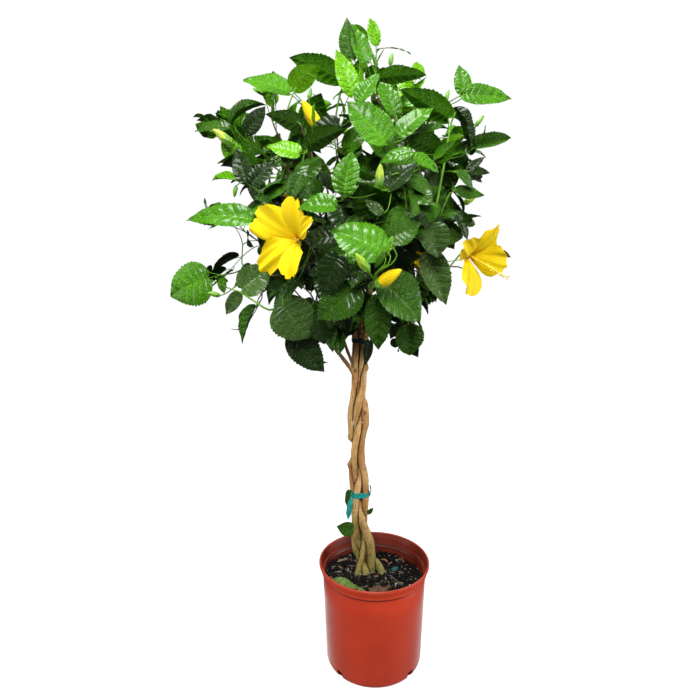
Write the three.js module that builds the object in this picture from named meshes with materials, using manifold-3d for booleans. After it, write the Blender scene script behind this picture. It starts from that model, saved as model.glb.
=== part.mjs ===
// A yellow hibiscus grown as a standard: four stems plaited into one trunk, a loose ball of leafy shoots on top,
// and the round nursery pot that it stands in. Millimetres, +Z up; the origin is the middle of the pot's underside.
import * as THREE from "three";
import Module from "manifold-3d";
import { mergeVertices } from "three/addons/utils/BufferGeometryUtils.js";

const wasm = await Module();
wasm.setup();

// Driving dimensions

const gap = 0.4; // free space kept between neighbouring pieces

const pot = {
  height: 244.5,
  rimRadius: 127,
  lipHeight: 7, // the rolled edge on top of the band
  lipThickness: 4.4,
  bandHeight: 23, // from the rim down to the step under the band
  bandRadius: 123,
  bandFootRadius: 121.5,
  wallTopRadius: 118.5,
  wallFootRadius: 111,
  cornerRadius: 15, // rounding between wall and underside
  wall: 2.4,
  bevel: 1.6, // on the lip's edges
  facets: 28,
};
const drain = { count: 4, width: 17, height: 20, sill: 1.2, reach: 26 }; // slots through the pot's bottom corner

const soilLevel = 190;

const trunk = {
  foot: [-13, 18], // middle of the plait where it leaves the soil
  top: [-40, 4], // and where the stems part under the crown
  straightFrom: 400, // most of the lean is below this height
  lowLean: 0.78, // and this is its share of the whole lean
  forkHeight: 752,
  topHeight: 930, // the stems are cut back from here to where they enter the foliage
  plaitPitch: 378, // height in which a stem returns to its place in the plait
  plaitPhase: 0.93,
  overlap: 1.6, // of the stems' swings, which together make the plait's width
  depth: 7.5, // swing of the plait to front and back
  plaitedFrom: 305, // below this the stems spread towards their feet
  spread: 30, // how far under the soil that spreading reaches
  bend: 60, // how far under the soil the lean begins
  stations: 36,
  sides: 6,
  clearance: 0.6, // between the stems
};
const plaitWidths = [
  // height, width over the outer stems: the plait swells and narrows
  [190, 52],
  [300, 48],
  [350, 34],
  [400, 38],
  [440, 46],
  [516, 24],
  [575, 56],
  [621, 24],
  [665, 33],
  [752, 34],
  [930, 84],
];
const stemRadii = [
  // height, radius: the flare at the soil, then an even taper
  [190, 12],
  [204, 10],
  [240, 8.4],
  [330, 7.2],
  [470, 6.4],
  [752, 5.6],
  [930, 4.4],
];
// Stem 3 runs behind the plait: its swing is a part of the others', turns slower, and lies further back.
const behind = { swing: 0.5, pace: 0.8, phase: 1, back: 1.3 };
const stems = [
  { foot: [-37, 12], girth: 0.95 },
  { foot: [-5, 15], girth: 1.2 },
  { foot: [-22, 29], girth: 0.85 },
  { foot: [19, 31], girth: 0.95 },
];

// How the stems find room beside each other: rounds of smoothing and pushing, then of pushing alone.
const settling = { rounds: 90, springyRounds: 60, smoothing: 0.3, returning: 0.06 };

// Limbs that leave the trunk below the fork, each from one stem into one leaf mass.
const boughs = {
  left_bough: { stem: 0, height: 684, into: "hanging_left_leaves", radii: [5.2, 3.8], sag: -5 },
  inner_left_bough: { stem: 0, height: 694, into: "skirt_1", radii: [3.6, 2.8], sag: -4 },
};
const boughShape = { steps: 6, sides: 7 };

const ties = {
  lower_tie: { height: 393, width: 12.5, thickness: 0.9 },
  upper_tie: { height: 742, width: 8, thickness: 0.9 },
};

// Leaf masses sit in rings round the heart of the crown. Angles are in degrees: azimuth 0 is +X and 90 is +Y.
// reach is from the heart to a mass's far tip; length and width are its semi-axes.
const heart = new THREE.Vector3(-50, 0, 1040);
const core = { centre: [-50, 0, 1040], length: 132, width: 112 };
const rings = {
  hem: { elevation: -68, azimuth: 160, length: 74, width: 62, reach: [322, 318, 330, 312] },
  skirt: { elevation: -42, azimuth: 205, length: 84, width: 76, reach: [318, 306, 300, 308, 300, 306] },
  girdle: { elevation: -9, azimuth: 188, length: 82, width: 80, reach: [250, 312, 300, 262, 300, 312, 306] },
  shoulder: { elevation: 26, azimuth: 184, length: 84, width: 80, reach: [306, 312, 318, 318, 308, 312] },
  upper: { elevation: 60, azimuth: 215, length: 84, width: 78, reach: [304, 300, 304, 298] },
};
// Sprays that stand out of the ball, each thin and alone.
const sprays = {
  top_spray: { azimuth: 0, elevation: 87, reach: 369, length: 74, width: 50 },
  right_crest_spray: { azimuth: 354, elevation: 63, reach: 326, length: 60, width: 44 },
  right_shoulder_spray: { azimuth: 356, elevation: 47, reach: 353, length: 64, width: 34 },
  right_tip_spray: { azimuth: 354, elevation: 32, reach: 394, length: 80, width: 36 },
  right_spray: { azimuth: 352, elevation: 16, reach: 354, length: 66, width: 36 },
  right_bloom_spray: { azimuth: 346, elevation: -24, reach: 370, length: 70, width: 56 },
  left_crest_spray: { azimuth: 186, elevation: 53, reach: 340, length: 66, width: 44 },
  upper_left_spray: { azimuth: 181, elevation: 30, reach: 380, length: 84, width: 42 },
  left_spray: { azimuth: 178, elevation: -3, reach: 346, length: 76, width: 34 },
  far_left_spray: { azimuth: 184, elevation: -27, reach: 446, length: 108, width: 46 },
  lower_left_spray: { azimuth: 194, elevation: -47, reach: 378, length: 76, width: 42 },
  hanging_left_leaves: { azimuth: 208, elevation: -73, reach: 366, length: 62, width: 42 },
  hanging_right_leaves: { azimuth: 335, elevation: -65, reach: 346, length: 60, width: 44 },
  front_bloom_spray: { azimuth: 232, elevation: -14, reach: 330, length: 60, width: 56 },
  front_spray: { azimuth: 282, elevation: 6, reach: 326, length: 64, width: 50 },
  back_tip_spray: { azimuth: 100, elevation: 44, reach: 366, length: 76, width: 44 },
  back_spray: { azimuth: 72, elevation: 6, reach: 356, length: 74, width: 42 },
  back_low_spray: { azimuth: 118, elevation: -28, reach: 372, length: 84, width: 44 },
};
const slit = 0.6; // width left between two masses where they meet
const finestWidth = 77; // a mass wider than this has a finer skin
const lumps = {
  height: 0.11, // as a share of the reach
  waves: [4.1, 4.7, 5.3], // over the three axes
  shifts: [1, 2.3, 3.1], // of the waves, from mass to mass
  scale: 1.5,
  sink: 0.4, // the lumps are sunk, so that few stand above the stated size
  smoothTip: 0.75, // the end of a mass from here on has no lumps
};

const finish = {
  pot: new THREE.MeshStandardMaterial({ color: 0xb23a22, roughness: 0.42 }),
  soil: new THREE.MeshStandardMaterial({ color: 0x17130f, roughness: 0.95 }),
  bark: new THREE.MeshStandardMaterial({ color: 0xa87a45, roughness: 0.8 }),
  leaves: new THREE.MeshStandardMaterial({ color: 0x2f7a1d, roughness: 0.35 }),
  tie: new THREE.MeshStandardMaterial({ color: 0x0f8a80, roughness: 0.5 }),
};

// Helpers

const root = new THREE.Group();
const radians = THREE.MathUtils.degToRad;

function add(name, geometry, material) {
  const mesh = new THREE.Mesh(geometry, material);
  mesh.name = name;
  root.add(mesh);
  return mesh;
}

// A value between the rows of a [position, value] table.
function between(table, at) {
  const last = table.length - 1;
  if (at <= table[0][0]) return table[0][1];
  if (at >= table[last][0]) return table[last][1];
  const i = table.findIndex(([x]) => x > at);
  const [x0, v0] = table[i - 1];
  const [x1, v1] = table[i];
  return v0 + ((v1 - v0) * (at - x0)) / (x1 - x0);
}

function directionOf(azimuth, elevation) {
  const a = radians(azimuth);
  const e = radians(elevation);
  return new THREE.Vector3(Math.cos(a) * Math.cos(e), Math.sin(a) * Math.cos(e), Math.sin(e));
}

// Moves every corner of a geometry by a function of its place.
function reshaped(geometry, move) {
  const corners = geometry.getAttribute("position");
  for (let i = 0; i < corners.count; i++) {
    const q = move(new THREE.Vector3().fromBufferAttribute(corners, i));
    corners.setXYZ(i, q.x, q.y, q.z);
  }
  return geometry;
}

function solidOf(geometry) {
  const bare = geometry.clone();
  bare.deleteAttribute("normal");
  bare.deleteAttribute("uv");
  const merged = mergeVertices(bare, 1e-3);
  return new wasm.Manifold(
    new wasm.Mesh({
      numProp: 3,
      vertProperties: merged.getAttribute("position").array,
      triVerts: new Uint32Array(merged.index.array),
    }),
  );
}

function geometryOf(solid) {
  const mesh = solid.getMesh();
  return new THREE.BufferGeometry()
    .setAttribute("position", new THREE.BufferAttribute(mesh.vertProperties, 3))
    .setIndex(new THREE.BufferAttribute(mesh.triVerts, 1));
}

function cutBy(solid, others) {
  return others.reduce((left, other) => left.subtract(other), solid);
}

const largestPiece = (solid) => solid.decompose().sort((a, b) => b.volume() - a.volume())[0];
const lowestPiece = (solid) =>
  solid.decompose().sort((a, b) => a.boundingBox().min[2] - b.boundingBox().min[2])[0];

// A round body from (radius, height) points, turned about the Z axis.
function turned(profile) {
  const points = profile.map(([r, z]) => new THREE.Vector2(r, z));
  return new THREE.LatheGeometry(points, pot.facets).rotateX(Math.PI / 2);
}

// Pot and soil

function wallRadius(z) {
  const share = z / (pot.height - pot.bandHeight);
  return pot.wallFootRadius + (pot.wallTopRadius - pot.wallFootRadius) * share;
}

// Points up the rounded corner between underside and wall, inset by the given amount.
function cornerArc(inset) {
  const steps = 3;
  const r = pot.cornerRadius - inset;
  const x = wallRadius(pot.cornerRadius) - pot.cornerRadius;
  return Array.from({ length: steps + 1 }, (_, i) => {
    const a = (-Math.PI / 2) * (1 - i / steps);
    return [x + r * Math.cos(a), pot.cornerRadius + r * Math.sin(a)];
  });
}

function makePot() {
  const step = pot.height - pot.bandHeight;
  const lipFoot = pot.height - pot.lipHeight;
  const outside = [
    [0, 0],
    ...cornerArc(0),
    [pot.wallTopRadius, step],
    [pot.bandFootRadius, step],
    [pot.bandRadius, lipFoot],
    [pot.rimRadius, lipFoot + pot.bevel],
    [pot.rimRadius, pot.height - pot.bevel],
    [pot.rimRadius - pot.bevel, pot.height],
  ];
  const inside = [
    [pot.rimRadius - pot.lipThickness, pot.height],
    [pot.bandRadius - pot.wall, lipFoot],
    [pot.bandFootRadius - pot.wall, step + pot.wall],
    [pot.wallTopRadius - pot.wall, step],
    ...cornerArc(pot.wall).reverse(),
    [0, pot.wall],
  ];
  let body = solidOf(turned([...outside, ...inside]));
  for (let i = 0; i < drain.count; i++) {
    const slot = new THREE.BoxGeometry(drain.reach, drain.width, drain.height)
      .translate(pot.wallFootRadius, 0, drain.sill + drain.height / 2)
      .rotateZ(((i + 0.5) * 2 * Math.PI) / drain.count);
    body = body.subtract(solidOf(slot));
  }
  return add("pot", geometryOf(body), finish.pot);
}

function makeSoil() {
  const inset = pot.wall + gap;
  const profile = [
    [0, inset],
    ...cornerArc(inset),
    [wallRadius(soilLevel) - inset, soilLevel],
    [0, soilLevel],
  ];
  return add("soil", turned(profile), finish.soil);
}

// Leaf masses

function listMasses() {
  const masses = [
    {
      name: "core",
      centre: new THREE.Vector3(...core.centre),
      axis: new THREE.Vector3(0, 0, 1),
      length: core.length,
      width: core.width,
      detail: 2,
    },
  ];
  const shoot = (name, azimuth, elevation, { reach, length, width }) => {
    const axis = directionOf(azimuth, elevation);
    const centre = heart.clone().addScaledVector(axis, reach - length);
    masses.push({ name, centre, axis, length, width, detail: width > finestWidth ? 2 : 1 });
  };
  for (const [name, ring] of Object.entries(rings))
    ring.reach.forEach((reach, i) => {
      const azimuth = ring.azimuth + (i * 360) / ring.reach.length;
      shoot(`${name}_${i + 1}`, azimuth, ring.elevation, { ...ring, reach });
    });
  for (const [name, spray] of Object.entries(sprays)) shoot(name, spray.azimuth, spray.elevation, spray);
  return masses;
}

// Distance from a mass's centre to its skin in a unit direction, before its neighbours are counted.
// The far tip keeps its stated reach; the rest is lumpy.
function skin(mass, direction, seed) {
  const along = direction.dot(mass.axis);
  const across = Math.sqrt(Math.max(0, 1 - along * along));
  const round = 1 / Math.hypot(along / mass.length, across / mass.width);
  const wave = lumps.waves.reduce(
    (sum, turns, k) => sum + Math.sin(turns * direction.getComponent(k) + lumps.shifts[k] * seed),
    0,
  );
  const body = 1 - THREE.MathUtils.smoothstep(along, lumps.smoothTip, 1);
  return round * (1 + lumps.height * body * (wave / lumps.scale - lumps.sink));
}

// The planes that part a mass from its neighbours, placed by how far each would reach towards the other.
function partings(mass, masses) {
  const most = 1 + lumps.height;
  return masses
    .filter((other) => other !== mass)
    .map((other) => {
      const towards = other.centre.clone().sub(mass.centre);
      const distance = towards.length();
      towards.normalize();
      const own = skin(mass, towards, 0) * most;
      const theirs = skin(other, towards.clone().negate(), 0) * most;
      return { towards, at: (distance * own) / (own + theirs) - slit / 2 };
    });
}

// A mass of leaves. Its inner end is drawn out into a tail, where its shoots come together; growth thickens it all,
// for the space that it keeps clear of limbs.
function massGeometry(mass, index, masses, { tail, growth = 0 } = {}) {
  const planes = partings(mass, masses);
  const ball = new THREE.IcosahedronGeometry(1, mass.detail);
  const pole = new THREE.Vector3().fromBufferAttribute(ball.getAttribute("position"), 0).normalize();
  const turn = new THREE.Quaternion().setFromUnitVectors(pole, mass.axis);
  return reshaped(ball, (p) => {
    const direction = p.normalize().applyQuaternion(turn);
    let reach = skin(mass, direction, index);
    for (const { towards, at } of planes) {
      const facing = direction.dot(towards);
      if (facing > 0) reach = Math.min(reach, at / facing);
    }
    if (tail && direction.dot(mass.axis) < -0.9999) reach = tail;
    return direction.multiplyScalar(reach + growth).add(mass.centre);
  });
}

// How far a mass's tail reaches towards the heart before it meets another mass.
function tailLength(mass, others) {
  const inward = mass.axis.clone().negate();
  const [hit] = new THREE.Raycaster(mass.centre, inward).intersectObjects(others);
  return hit ? hit.distance - gap : undefined;
}

// Plaited trunk

const stemRadius = (stem, z) => between(stemRadii, z) * stems[stem].girth;

function trunkAxis(z) {
  const low = THREE.MathUtils.smoothstep(z, soilLevel - trunk.bend, trunk.straightFrom);
  const high = THREE.MathUtils.clamp((z - soilLevel) / (trunk.forkHeight - soilLevel), 0, 1);
  const share = trunk.lowLean * low + (1 - trunk.lowLean) * high;
  return trunk.foot.map((f, k) => f + (trunk.top[k] - f) * share);
}

// Where a stem would run if it had no thickness: stems 0 to 2 plait, stem 3 wanders behind them.
function plaitPlace(stem, z) {
  const [ax, ay] = trunkAxis(z);
  const swing = (between(plaitWidths, z) - 2 * between(stemRadii, z)) / trunk.overlap;
  const turn = (2 * Math.PI * z) / trunk.plaitPitch + trunk.plaitPhase;
  const own = turn + (stem * 2 * Math.PI) / 3;
  const plaited =
    stem === 3
      ? [behind.swing * swing * Math.sin(behind.pace * turn + behind.phase), behind.back * trunk.depth]
      : [swing * Math.sin(own), trunk.depth * Math.sin(2 * own)];
  const share = THREE.MathUtils.smoothstep(z, soilLevel - trunk.spread, trunk.plaitedFrom);
  const foot = stems[stem].foot;
  return new THREE.Vector2(
    foot[0] + (ax + plaited[0] - foot[0]) * share,
    foot[1] + (ay + plaited[1] - foot[1]) * share,
  );
}

// The stems' centres at every station. They push each other apart where they are too thick for their places,
// and are smoothed up the trunk in between, as bent wood would be.
function settleStems() {
  const low = soilLevel + gap;
  const heights = Array.from(
    { length: trunk.stations + 1 },
    (_, i) => low + ((trunk.topHeight - low) * i) / trunk.stations,
  );
  const places = heights.map((z) => stems.map((_, stem) => plaitPlace(stem, z)));
  for (let round = 0; round < settling.rounds; round++) {
    if (round < settling.springyRounds)
      for (let i = 1; i < trunk.stations; i++)
        stems.forEach((_, stem) => {
          const middle = places[i - 1][stem].clone().lerp(places[i + 1][stem], 0.5);
          const place = places[i][stem].lerp(middle, settling.smoothing);
          place.lerp(plaitPlace(stem, heights[i]), settling.returning);
        });
    heights.forEach((z, i) => {
      for (const share of [0, 0.5]) pushApart(places[i], places[Math.min(i + 1, trunk.stations)], share, z);
    });
  }
  return { heights, places };
}

// Parts the stems at a share of the way from one station's places to the next one's.
function pushApart(lower, upper, share, z) {
  for (let a = 0; a < stems.length; a++)
    for (let b = a + 1; b < stems.length; b++) {
      const apart = lower[b].clone().lerp(upper[b], share).sub(lower[a].clone().lerp(upper[a], share));
      const push = (stemRadius(a, z) + stemRadius(b, z) + trunk.clearance - apart.length()) / 2;
      if (push <= 0) continue;
      apart.setLength(push);
      for (const places of share === 0 ? [lower] : [lower, upper]) {
        places[a].sub(apart);
        places[b].add(apart);
      }
    }
}

const settled = settleStems();

function stemCentre(stem, z) {
  const { heights, places } = settled;
  const at = ((z - heights[0]) / (trunk.topHeight - heights[0])) * trunk.stations;
  const i = THREE.MathUtils.clamp(Math.floor(at + 1e-9), 0, trunk.stations - 1);
  const place = places[i][stem].clone().lerp(places[i + 1][stem], at - i);
  return new THREE.Vector3(place.x, place.y, z);
}

// A tapering limb: a unit cylinder whose rings are laid along a path, and turned the same way all along it.
function limb(path, radius, steps, sides, turn = new THREE.Quaternion()) {
  const barrel = new THREE.CylinderGeometry(1, 1, 1, sides, steps).rotateX(Math.PI / 2);
  return reshaped(barrel, (p) => {
    const t = p.z + 0.5;
    const r = radius(t);
    return new THREE.Vector3(p.x * r, p.y * r, 0).applyQuaternion(turn).add(path(t));
  });
}

// The stem's solid; growth thickens it, for the space that it keeps clear.
function stemSolid(stem, growth = 0) {
  const low = settled.heights[0];
  const high = trunk.topHeight;
  const path = (t) => stemCentre(stem, low + (high - low) * t);
  const radius = (t) => stemRadius(stem, low + (high - low) * t) + growth;
  return solidOf(limb(path, radius, trunk.stations, trunk.sides));
}

function boughSolid(bough, target) {
  const from = stemCentre(bough.stem, bough.height);
  const towards = target.centre.clone().sub(from);
  const turn = new THREE.Quaternion().setFromUnitVectors(
    new THREE.Vector3(0, 0, 1),
    towards.clone().normalize(),
  );
  const path = (t) => {
    const p = from.clone().addScaledVector(towards, t);
    p.z += bough.sag * Math.sin(Math.PI * t);
    return p;
  };
  const radius = (t) => bough.radii[0] + (bough.radii[1] - bough.radii[0]) * t;
  return solidOf(limb(path, radius, boughShape.steps, boughShape.sides, turn));
}

// Ties

// The outline of a taut band round points.
function hull(points) {
  const sorted = [...points].sort((a, b) => a.x - b.x || a.y - b.y);
  const half = (list) => {
    const out = [];
    for (const p of list) {
      while (out.length > 1) {
        const [a, b] = out.slice(-2);
        if ((b.x - a.x) * (p.y - a.y) - (b.y - a.y) * (p.x - a.x) > 1e-6) break;
        out.pop();
      }
      out.push(p);
    }
    return out.slice(0, -1);
  };
  return [...half(sorted), ...half(sorted.reverse())];
}

// The outline round all the stems between two heights, at a distance from their bark.
function roundStems(low, high, distance) {
  const corners = 16;
  const levels = 5;
  const points = [];
  for (let level = 0; level < levels; level++)
    stems.forEach((_, stem) => {
      const z = low + ((high - low) * level) / (levels - 1);
      const c = stemCentre(stem, z);
      const r = stemRadius(stem, z) + distance;
      for (let i = 0; i < corners; i++) {
        const a = (i * 2 * Math.PI) / corners;
        points.push(new THREE.Vector2(c.x + r * Math.cos(a), c.y + r * Math.sin(a)));
      }
    });
  return hull(points);
}

function makeTie(name, tie) {
  const high = tie.height + tie.width;
  const band = new THREE.Shape(roundStems(tie.height, high, gap + tie.thickness));
  band.holes.push(new THREE.Path(roundStems(tie.height, high, gap)));
  const geometry = new THREE.ExtrudeGeometry(band, { depth: tie.width, bevelEnabled: false });
  return add(name, geometry.translate(0, 0, tie.height), finish.tie);
}

// Assembly

makePot();
makeSoil();

// Each mass gets its tail, cut clear of the masses round it and of the tails made before.
const masses = listMasses();
const blunt = masses.map((mass, i) => new THREE.Mesh(massGeometry(mass, i, masses)));
const space = masses.map((mass, i) => solidOf(massGeometry(mass, i, masses, { growth: gap })));
masses.forEach((mass, i) => {
  const tail = mass.name === "core" ? undefined : tailLength(mass, blunt.toSpliced(i, 1));
  const tailed = solidOf(massGeometry(mass, i, masses, { tail }));
  add(mass.name, geometryOf(largestPiece(cutBy(tailed, space.toSpliced(i, 1)))), finish.leaves);
  space[i] = solidOf(massGeometry(mass, i, masses, { tail, growth: gap }));
});

stems.forEach((_, stem) => {
  add(`stem_${stem + 1}`, geometryOf(lowestPiece(cutBy(stemSolid(stem), space))), finish.bark);
});
const stemSpace = stems.map((_, stem) => stemSolid(stem, gap));
for (const [name, bough] of Object.entries(boughs)) {
  const target = masses.find((mass) => mass.name === bough.into);
  const solid = lowestPiece(cutBy(boughSolid(bough, target), [...stemSpace, ...space]));
  add(name, geometryOf(solid), finish.bark);
}
for (const [name, tie] of Object.entries(ties)) makeTie(name, tie);

export default root;
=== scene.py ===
import math

import bmesh
import bpy
import numpy as np
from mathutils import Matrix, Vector
from mathutils.bvhtree import BVHTree


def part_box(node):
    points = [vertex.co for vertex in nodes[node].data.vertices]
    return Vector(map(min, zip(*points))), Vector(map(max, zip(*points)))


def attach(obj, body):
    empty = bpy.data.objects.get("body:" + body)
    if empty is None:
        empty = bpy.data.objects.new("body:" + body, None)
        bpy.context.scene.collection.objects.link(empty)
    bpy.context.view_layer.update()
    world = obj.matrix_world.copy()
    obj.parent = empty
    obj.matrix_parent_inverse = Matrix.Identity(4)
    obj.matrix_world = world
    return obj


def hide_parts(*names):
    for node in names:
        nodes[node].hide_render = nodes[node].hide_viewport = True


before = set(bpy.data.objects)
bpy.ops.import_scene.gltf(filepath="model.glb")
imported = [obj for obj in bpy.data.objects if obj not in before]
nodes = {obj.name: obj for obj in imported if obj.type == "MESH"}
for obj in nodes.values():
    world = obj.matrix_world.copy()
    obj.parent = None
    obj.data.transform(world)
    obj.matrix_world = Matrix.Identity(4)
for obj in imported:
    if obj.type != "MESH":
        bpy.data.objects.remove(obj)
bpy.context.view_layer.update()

tau = 2 * math.pi
up = np.array([0.0, 0.0, 1.0])

# What the crown is made of, by the names of its masses.
trunkNodes = [f"stem_{i}" for i in range(1, 5)]
boughNodes = ["left_bough", "inner_left_bough"]
otherNodes = ["pot", "soil", "lower_tie", "upper_tie"] + trunkNodes + boughNodes
massNodes = sorted(n for n in nodes if n not in otherNodes)


def unit(v):
    v = np.asarray(v, float)
    return v / np.maximum(np.linalg.norm(v, axis=-1, keepdims=True), 1e-12)


def cornersOf(name):
    mesh = nodes[name].data
    co = np.zeros(len(mesh.vertices) * 3)
    mesh.vertices.foreach_get("co", co)
    return co.reshape(-1, 3)


def newHeap():
    return {"points": [], "corners": [], "sizes": [], "finish": [], "uv": [], "count": 0}


# Lays a patch of faces on a heap; faces is a list of arrays of quads or triangles.
def pileOn(heap, points, faces, finish=0, uv=None):
    points = np.asarray(points, float)
    for group in faces:
        heap["corners"].append((group + heap["count"]).ravel())
        heap["sizes"].append(np.full(len(group), group.shape[1]))
        heap["finish"].append(np.full(len(group), finish))
    heap["points"].append(points)
    heap["uv"].append(np.zeros((len(points), 2)) if uv is None else uv)
    heap["count"] += len(points)


def makePiece(name, heap, finishes, replaced=(), layer="flow", rounded=True):
    points = np.concatenate(heap["points"])
    corners = np.concatenate(heap["corners"]).astype(np.int32)
    sizes = np.concatenate(heap["sizes"])
    starts = np.concatenate([[0], np.cumsum(sizes)[:-1]])
    uv = np.concatenate(heap["uv"])[corners]
    mesh = bpy.data.meshes.new(name)
    mesh.vertices.add(len(points))
    mesh.vertices.foreach_set("co", points.ravel())
    mesh.loops.add(len(corners))
    mesh.loops.foreach_set("vertex_index", corners)
    mesh.polygons.add(len(sizes))
    mesh.polygons.foreach_set("loop_start", starts.astype(np.int32))
    mesh.polygons.foreach_set("material_index", np.concatenate(heap["finish"]).astype(np.int32))
    mesh.polygons.foreach_set("use_smooth", np.full(len(sizes), rounded))
    mesh.uv_layers.new(name=layer).data.foreach_set("uv", uv.ravel())
    for finish in finishes:
        mesh.materials.append(finish)
    mesh.update(calc_edges=True)
    mesh.validate()
    piece = bpy.data.objects.new(name, mesh)
    bpy.context.scene.collection.objects.link(piece)
    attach(piece, "root")
    if replaced:
        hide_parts(*replaced)
    triangles = int((sizes - 2).sum())
    print(f"{name}: {triangles} triangles")
    return piece


# The quads of a grid whose points run row by row; wrap joins its last column to its first.
def gridFaces(rows, columns, wrap=False):
    i, j = np.meshgrid(np.arange(rows - 1), np.arange(columns if wrap else columns - 1), indexing="ij")
    i, j = i.ravel(), j.ravel()
    k = (j + 1) % columns
    return np.stack([i * columns + j, i * columns + k, (i + 1) * columns + k, (i + 1) * columns + j], 1)


# The triangles that close a ring of points onto one in its middle.
def fanFaces(first, columns, middle, flip=False):
    j = np.arange(columns)
    k = (j + 1) % columns
    fan = np.stack([first + j, first + k, np.full(columns, middle)], 1)
    return fan[:, ::-1] if flip else fan


def aroundCircle(count):
    return np.arange(count) * tau / count


def lengthsAlong(path):
    return np.concatenate([[0], np.cumsum(np.linalg.norm(np.diff(path, axis=0), axis=1))])


# A direction square to an axis.
def squareTo(axis):
    return unit(np.cross(axis, up if abs(axis[2]) < 0.9 else [1.0, 0, 0]))


# The way along a path, and two directions across it that turn as little as they can.
def framesAlong(path):
    along = unit(np.gradient(path, axis=0))
    side = squareTo(along[0])
    sides = []
    for t in along:
        side = unit(side - t * (side @ t))
        sides.append(side)
    sides = np.array(sides)
    return along, sides, np.cross(along, sides)


# A round tube; shape varies its girth, and carried is what all of it hands to its finish.
def addTube(heap, path, radii, sides, finish, closed=(False, True), shape=None, carried=None):
    path = np.asarray(path, float)
    along, side, other = framesAlong(path)
    angles = aroundCircle(sides)
    ring = side[:, None] * np.cos(angles)[None, :, None] + other[:, None] * np.sin(angles)[None, :, None]
    radii = np.broadcast_to(np.asarray(radii, float), len(path))[:, None]
    if shape is not None:
        radii = radii * shape
    points = (path[:, None] + ring * radii[..., None]).reshape(-1, 3)
    faces = [gridFaces(len(path), sides, wrap=True)]
    ends = []
    if closed[0]:
        ends.append(path[0] - along[0] * radii[0, 0] * 0.4)
        faces.append(fanFaces(0, sides, len(points), flip=True))
    if closed[1]:
        faces.append(fanFaces((len(path) - 1) * sides, sides, len(points) + len(ends)))
        ends.append(path[-1] + along[-1] * radii[-1].mean() * 0.8)
    if ends:
        points = np.concatenate([points, ends])
    uv = np.stack([np.tile(angles / tau, len(path)), np.repeat(lengthsAlong(path), sides)], 1)
    uv = np.concatenate([uv, np.zeros((len(ends), 2))])
    if carried is not None:
        uv = np.tile(carried, (len(uv), 1))
    pileOn(heap, points, faces, finish, uv)


# A cubic curve that heads for a, then comes in from b.
def curveOf(start, a, b, end, t):
    return start * (1 - t) ** 3 + 3 * a * t * (1 - t) ** 2 + 3 * b * t * t * (1 - t) + end * t ** 3


# A curve that leaves start along one direction and reaches end along another.
def swing(start, leaving, end, arriving, steps, pull=0.4):
    start, end = np.asarray(start, float), np.asarray(end, float)
    reach = np.linalg.norm(end - start) * pull
    a, b = start + unit(leaving) * reach, end - unit(arriving) * reach
    return curveOf(start, a, b, end, np.linspace(0, 1, steps)[:, None])


# A smooth curve through points, a given distance between its steps.
def through(points, spacing):
    points = np.asarray(points, float)
    padded = np.concatenate([[2 * points[0] - points[1]], points, [2 * points[-1] - points[-2]]])
    out = []
    for i in range(1, len(padded) - 2):
        p0, p1, p2, p3 = padded[i - 1:i + 3]
        steps = max(2, int(np.linalg.norm((p2 - p1)[:3]) / spacing))
        t = np.arange(steps)[:, None] / steps
        out.append(0.5 * (2 * p1 + (p2 - p0) * t + (2 * p0 - 5 * p1 + 4 * p2 - p3) * t ** 2
                          + (3 * p1 - p0 - 3 * p2 + p3) * t ** 3))
    return np.concatenate(out + [points[-1:]])


# Smooth random waves over two coordinates, between about -1 and 1.
def ripples(a, b, scaleA, scaleB, dice, count=7):
    total = 0
    for _ in range(count):
        ka, kb = dice.normal(0, 1, 2)
        total = total + np.sin(a * round(ka * scaleA) + b * kb * scaleB + dice.uniform(0, tau))
    return total / math.sqrt(count)


# Rises from 0 to 1 between low and high, with soft ends.
def smooth(x, low, high):
    t = np.clip((x - low) / (high - low), 0, 1)
    return t * t * (3 - 2 * t)


def newFinish(name, **values):
    material = bpy.data.materials.new(name)
    material.use_nodes = True
    tree = material.node_tree
    shader = tree.nodes["Principled BSDF"]
    for key, value in values.items():
        shader.inputs[key.replace("_", " ")].default_value = value
    return material, tree, shader


def addNode(tree, kind, inputs=None, **settings):
    made = tree.nodes.new("ShaderNode" + kind)
    for key, value in settings.items():
        setattr(made, key, value)
    for key, value in (inputs or {}).items():
        if isinstance(value, bpy.types.NodeSocket):
            tree.links.new(value, made.inputs[key])
        else:
            made.inputs[key].default_value = value
    return made


def colour(r, g, b):
    return (r, g, b, 1.0)


def blendOf(tree, share, a, b):
    return addNode(tree, "MixRGB", {0: share, 1: a, 2: b}).outputs[0]


def noiseOf(tree, where, scale, detail=3.0, rough=0.55):
    return addNode(tree, "TexNoise", {"Vector": where, "Scale": scale, "Detail": detail,
                                      "Roughness": rough}).outputs["Fac"]


def rangeOf(tree, value, fromLow, fromHigh, low, high):
    return addNode(tree, "MapRange", {0: value, 1: fromLow, 2: fromHigh, 3: low, 4: high}).outputs[0]


def bumpOf(tree, height, distance, strength, normal=None):
    inputs = {"Height": height, "Distance": distance, "Strength": strength}
    if normal is not None:
        inputs["Normal"] = normal
    return addNode(tree, "Bump", inputs).outputs[0]


def mathOf(tree, how, a, b=0.0):
    return addNode(tree, "Math", {0: a, 1: b}, operation=how).outputs[0]


def placeOf(tree):
    return addNode(tree, "TexCoord").outputs["Object"]


def stretched(tree, where, x, y, z):
    return addNode(tree, "Mapping", {"Vector": where, "Scale": (x, y, z)}).outputs[0]


# The two values that a piece carries in a layer.
def carriedBy(tree, layer):
    return addNode(tree, "SeparateXYZ", {0: addNode(tree, "UVMap", uv_map=layer).outputs[0]}).outputs[:2]


def flatPlace(tree, across, along, x, y):
    return stretched(tree, addNode(tree, "CombineXYZ", {0: across, 1: along}).outputs[0], x, y, 1)


def shaded(colours, factors):
    return tuple(c * f for c, f in zip(colours, factors)) + (1,)


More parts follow.
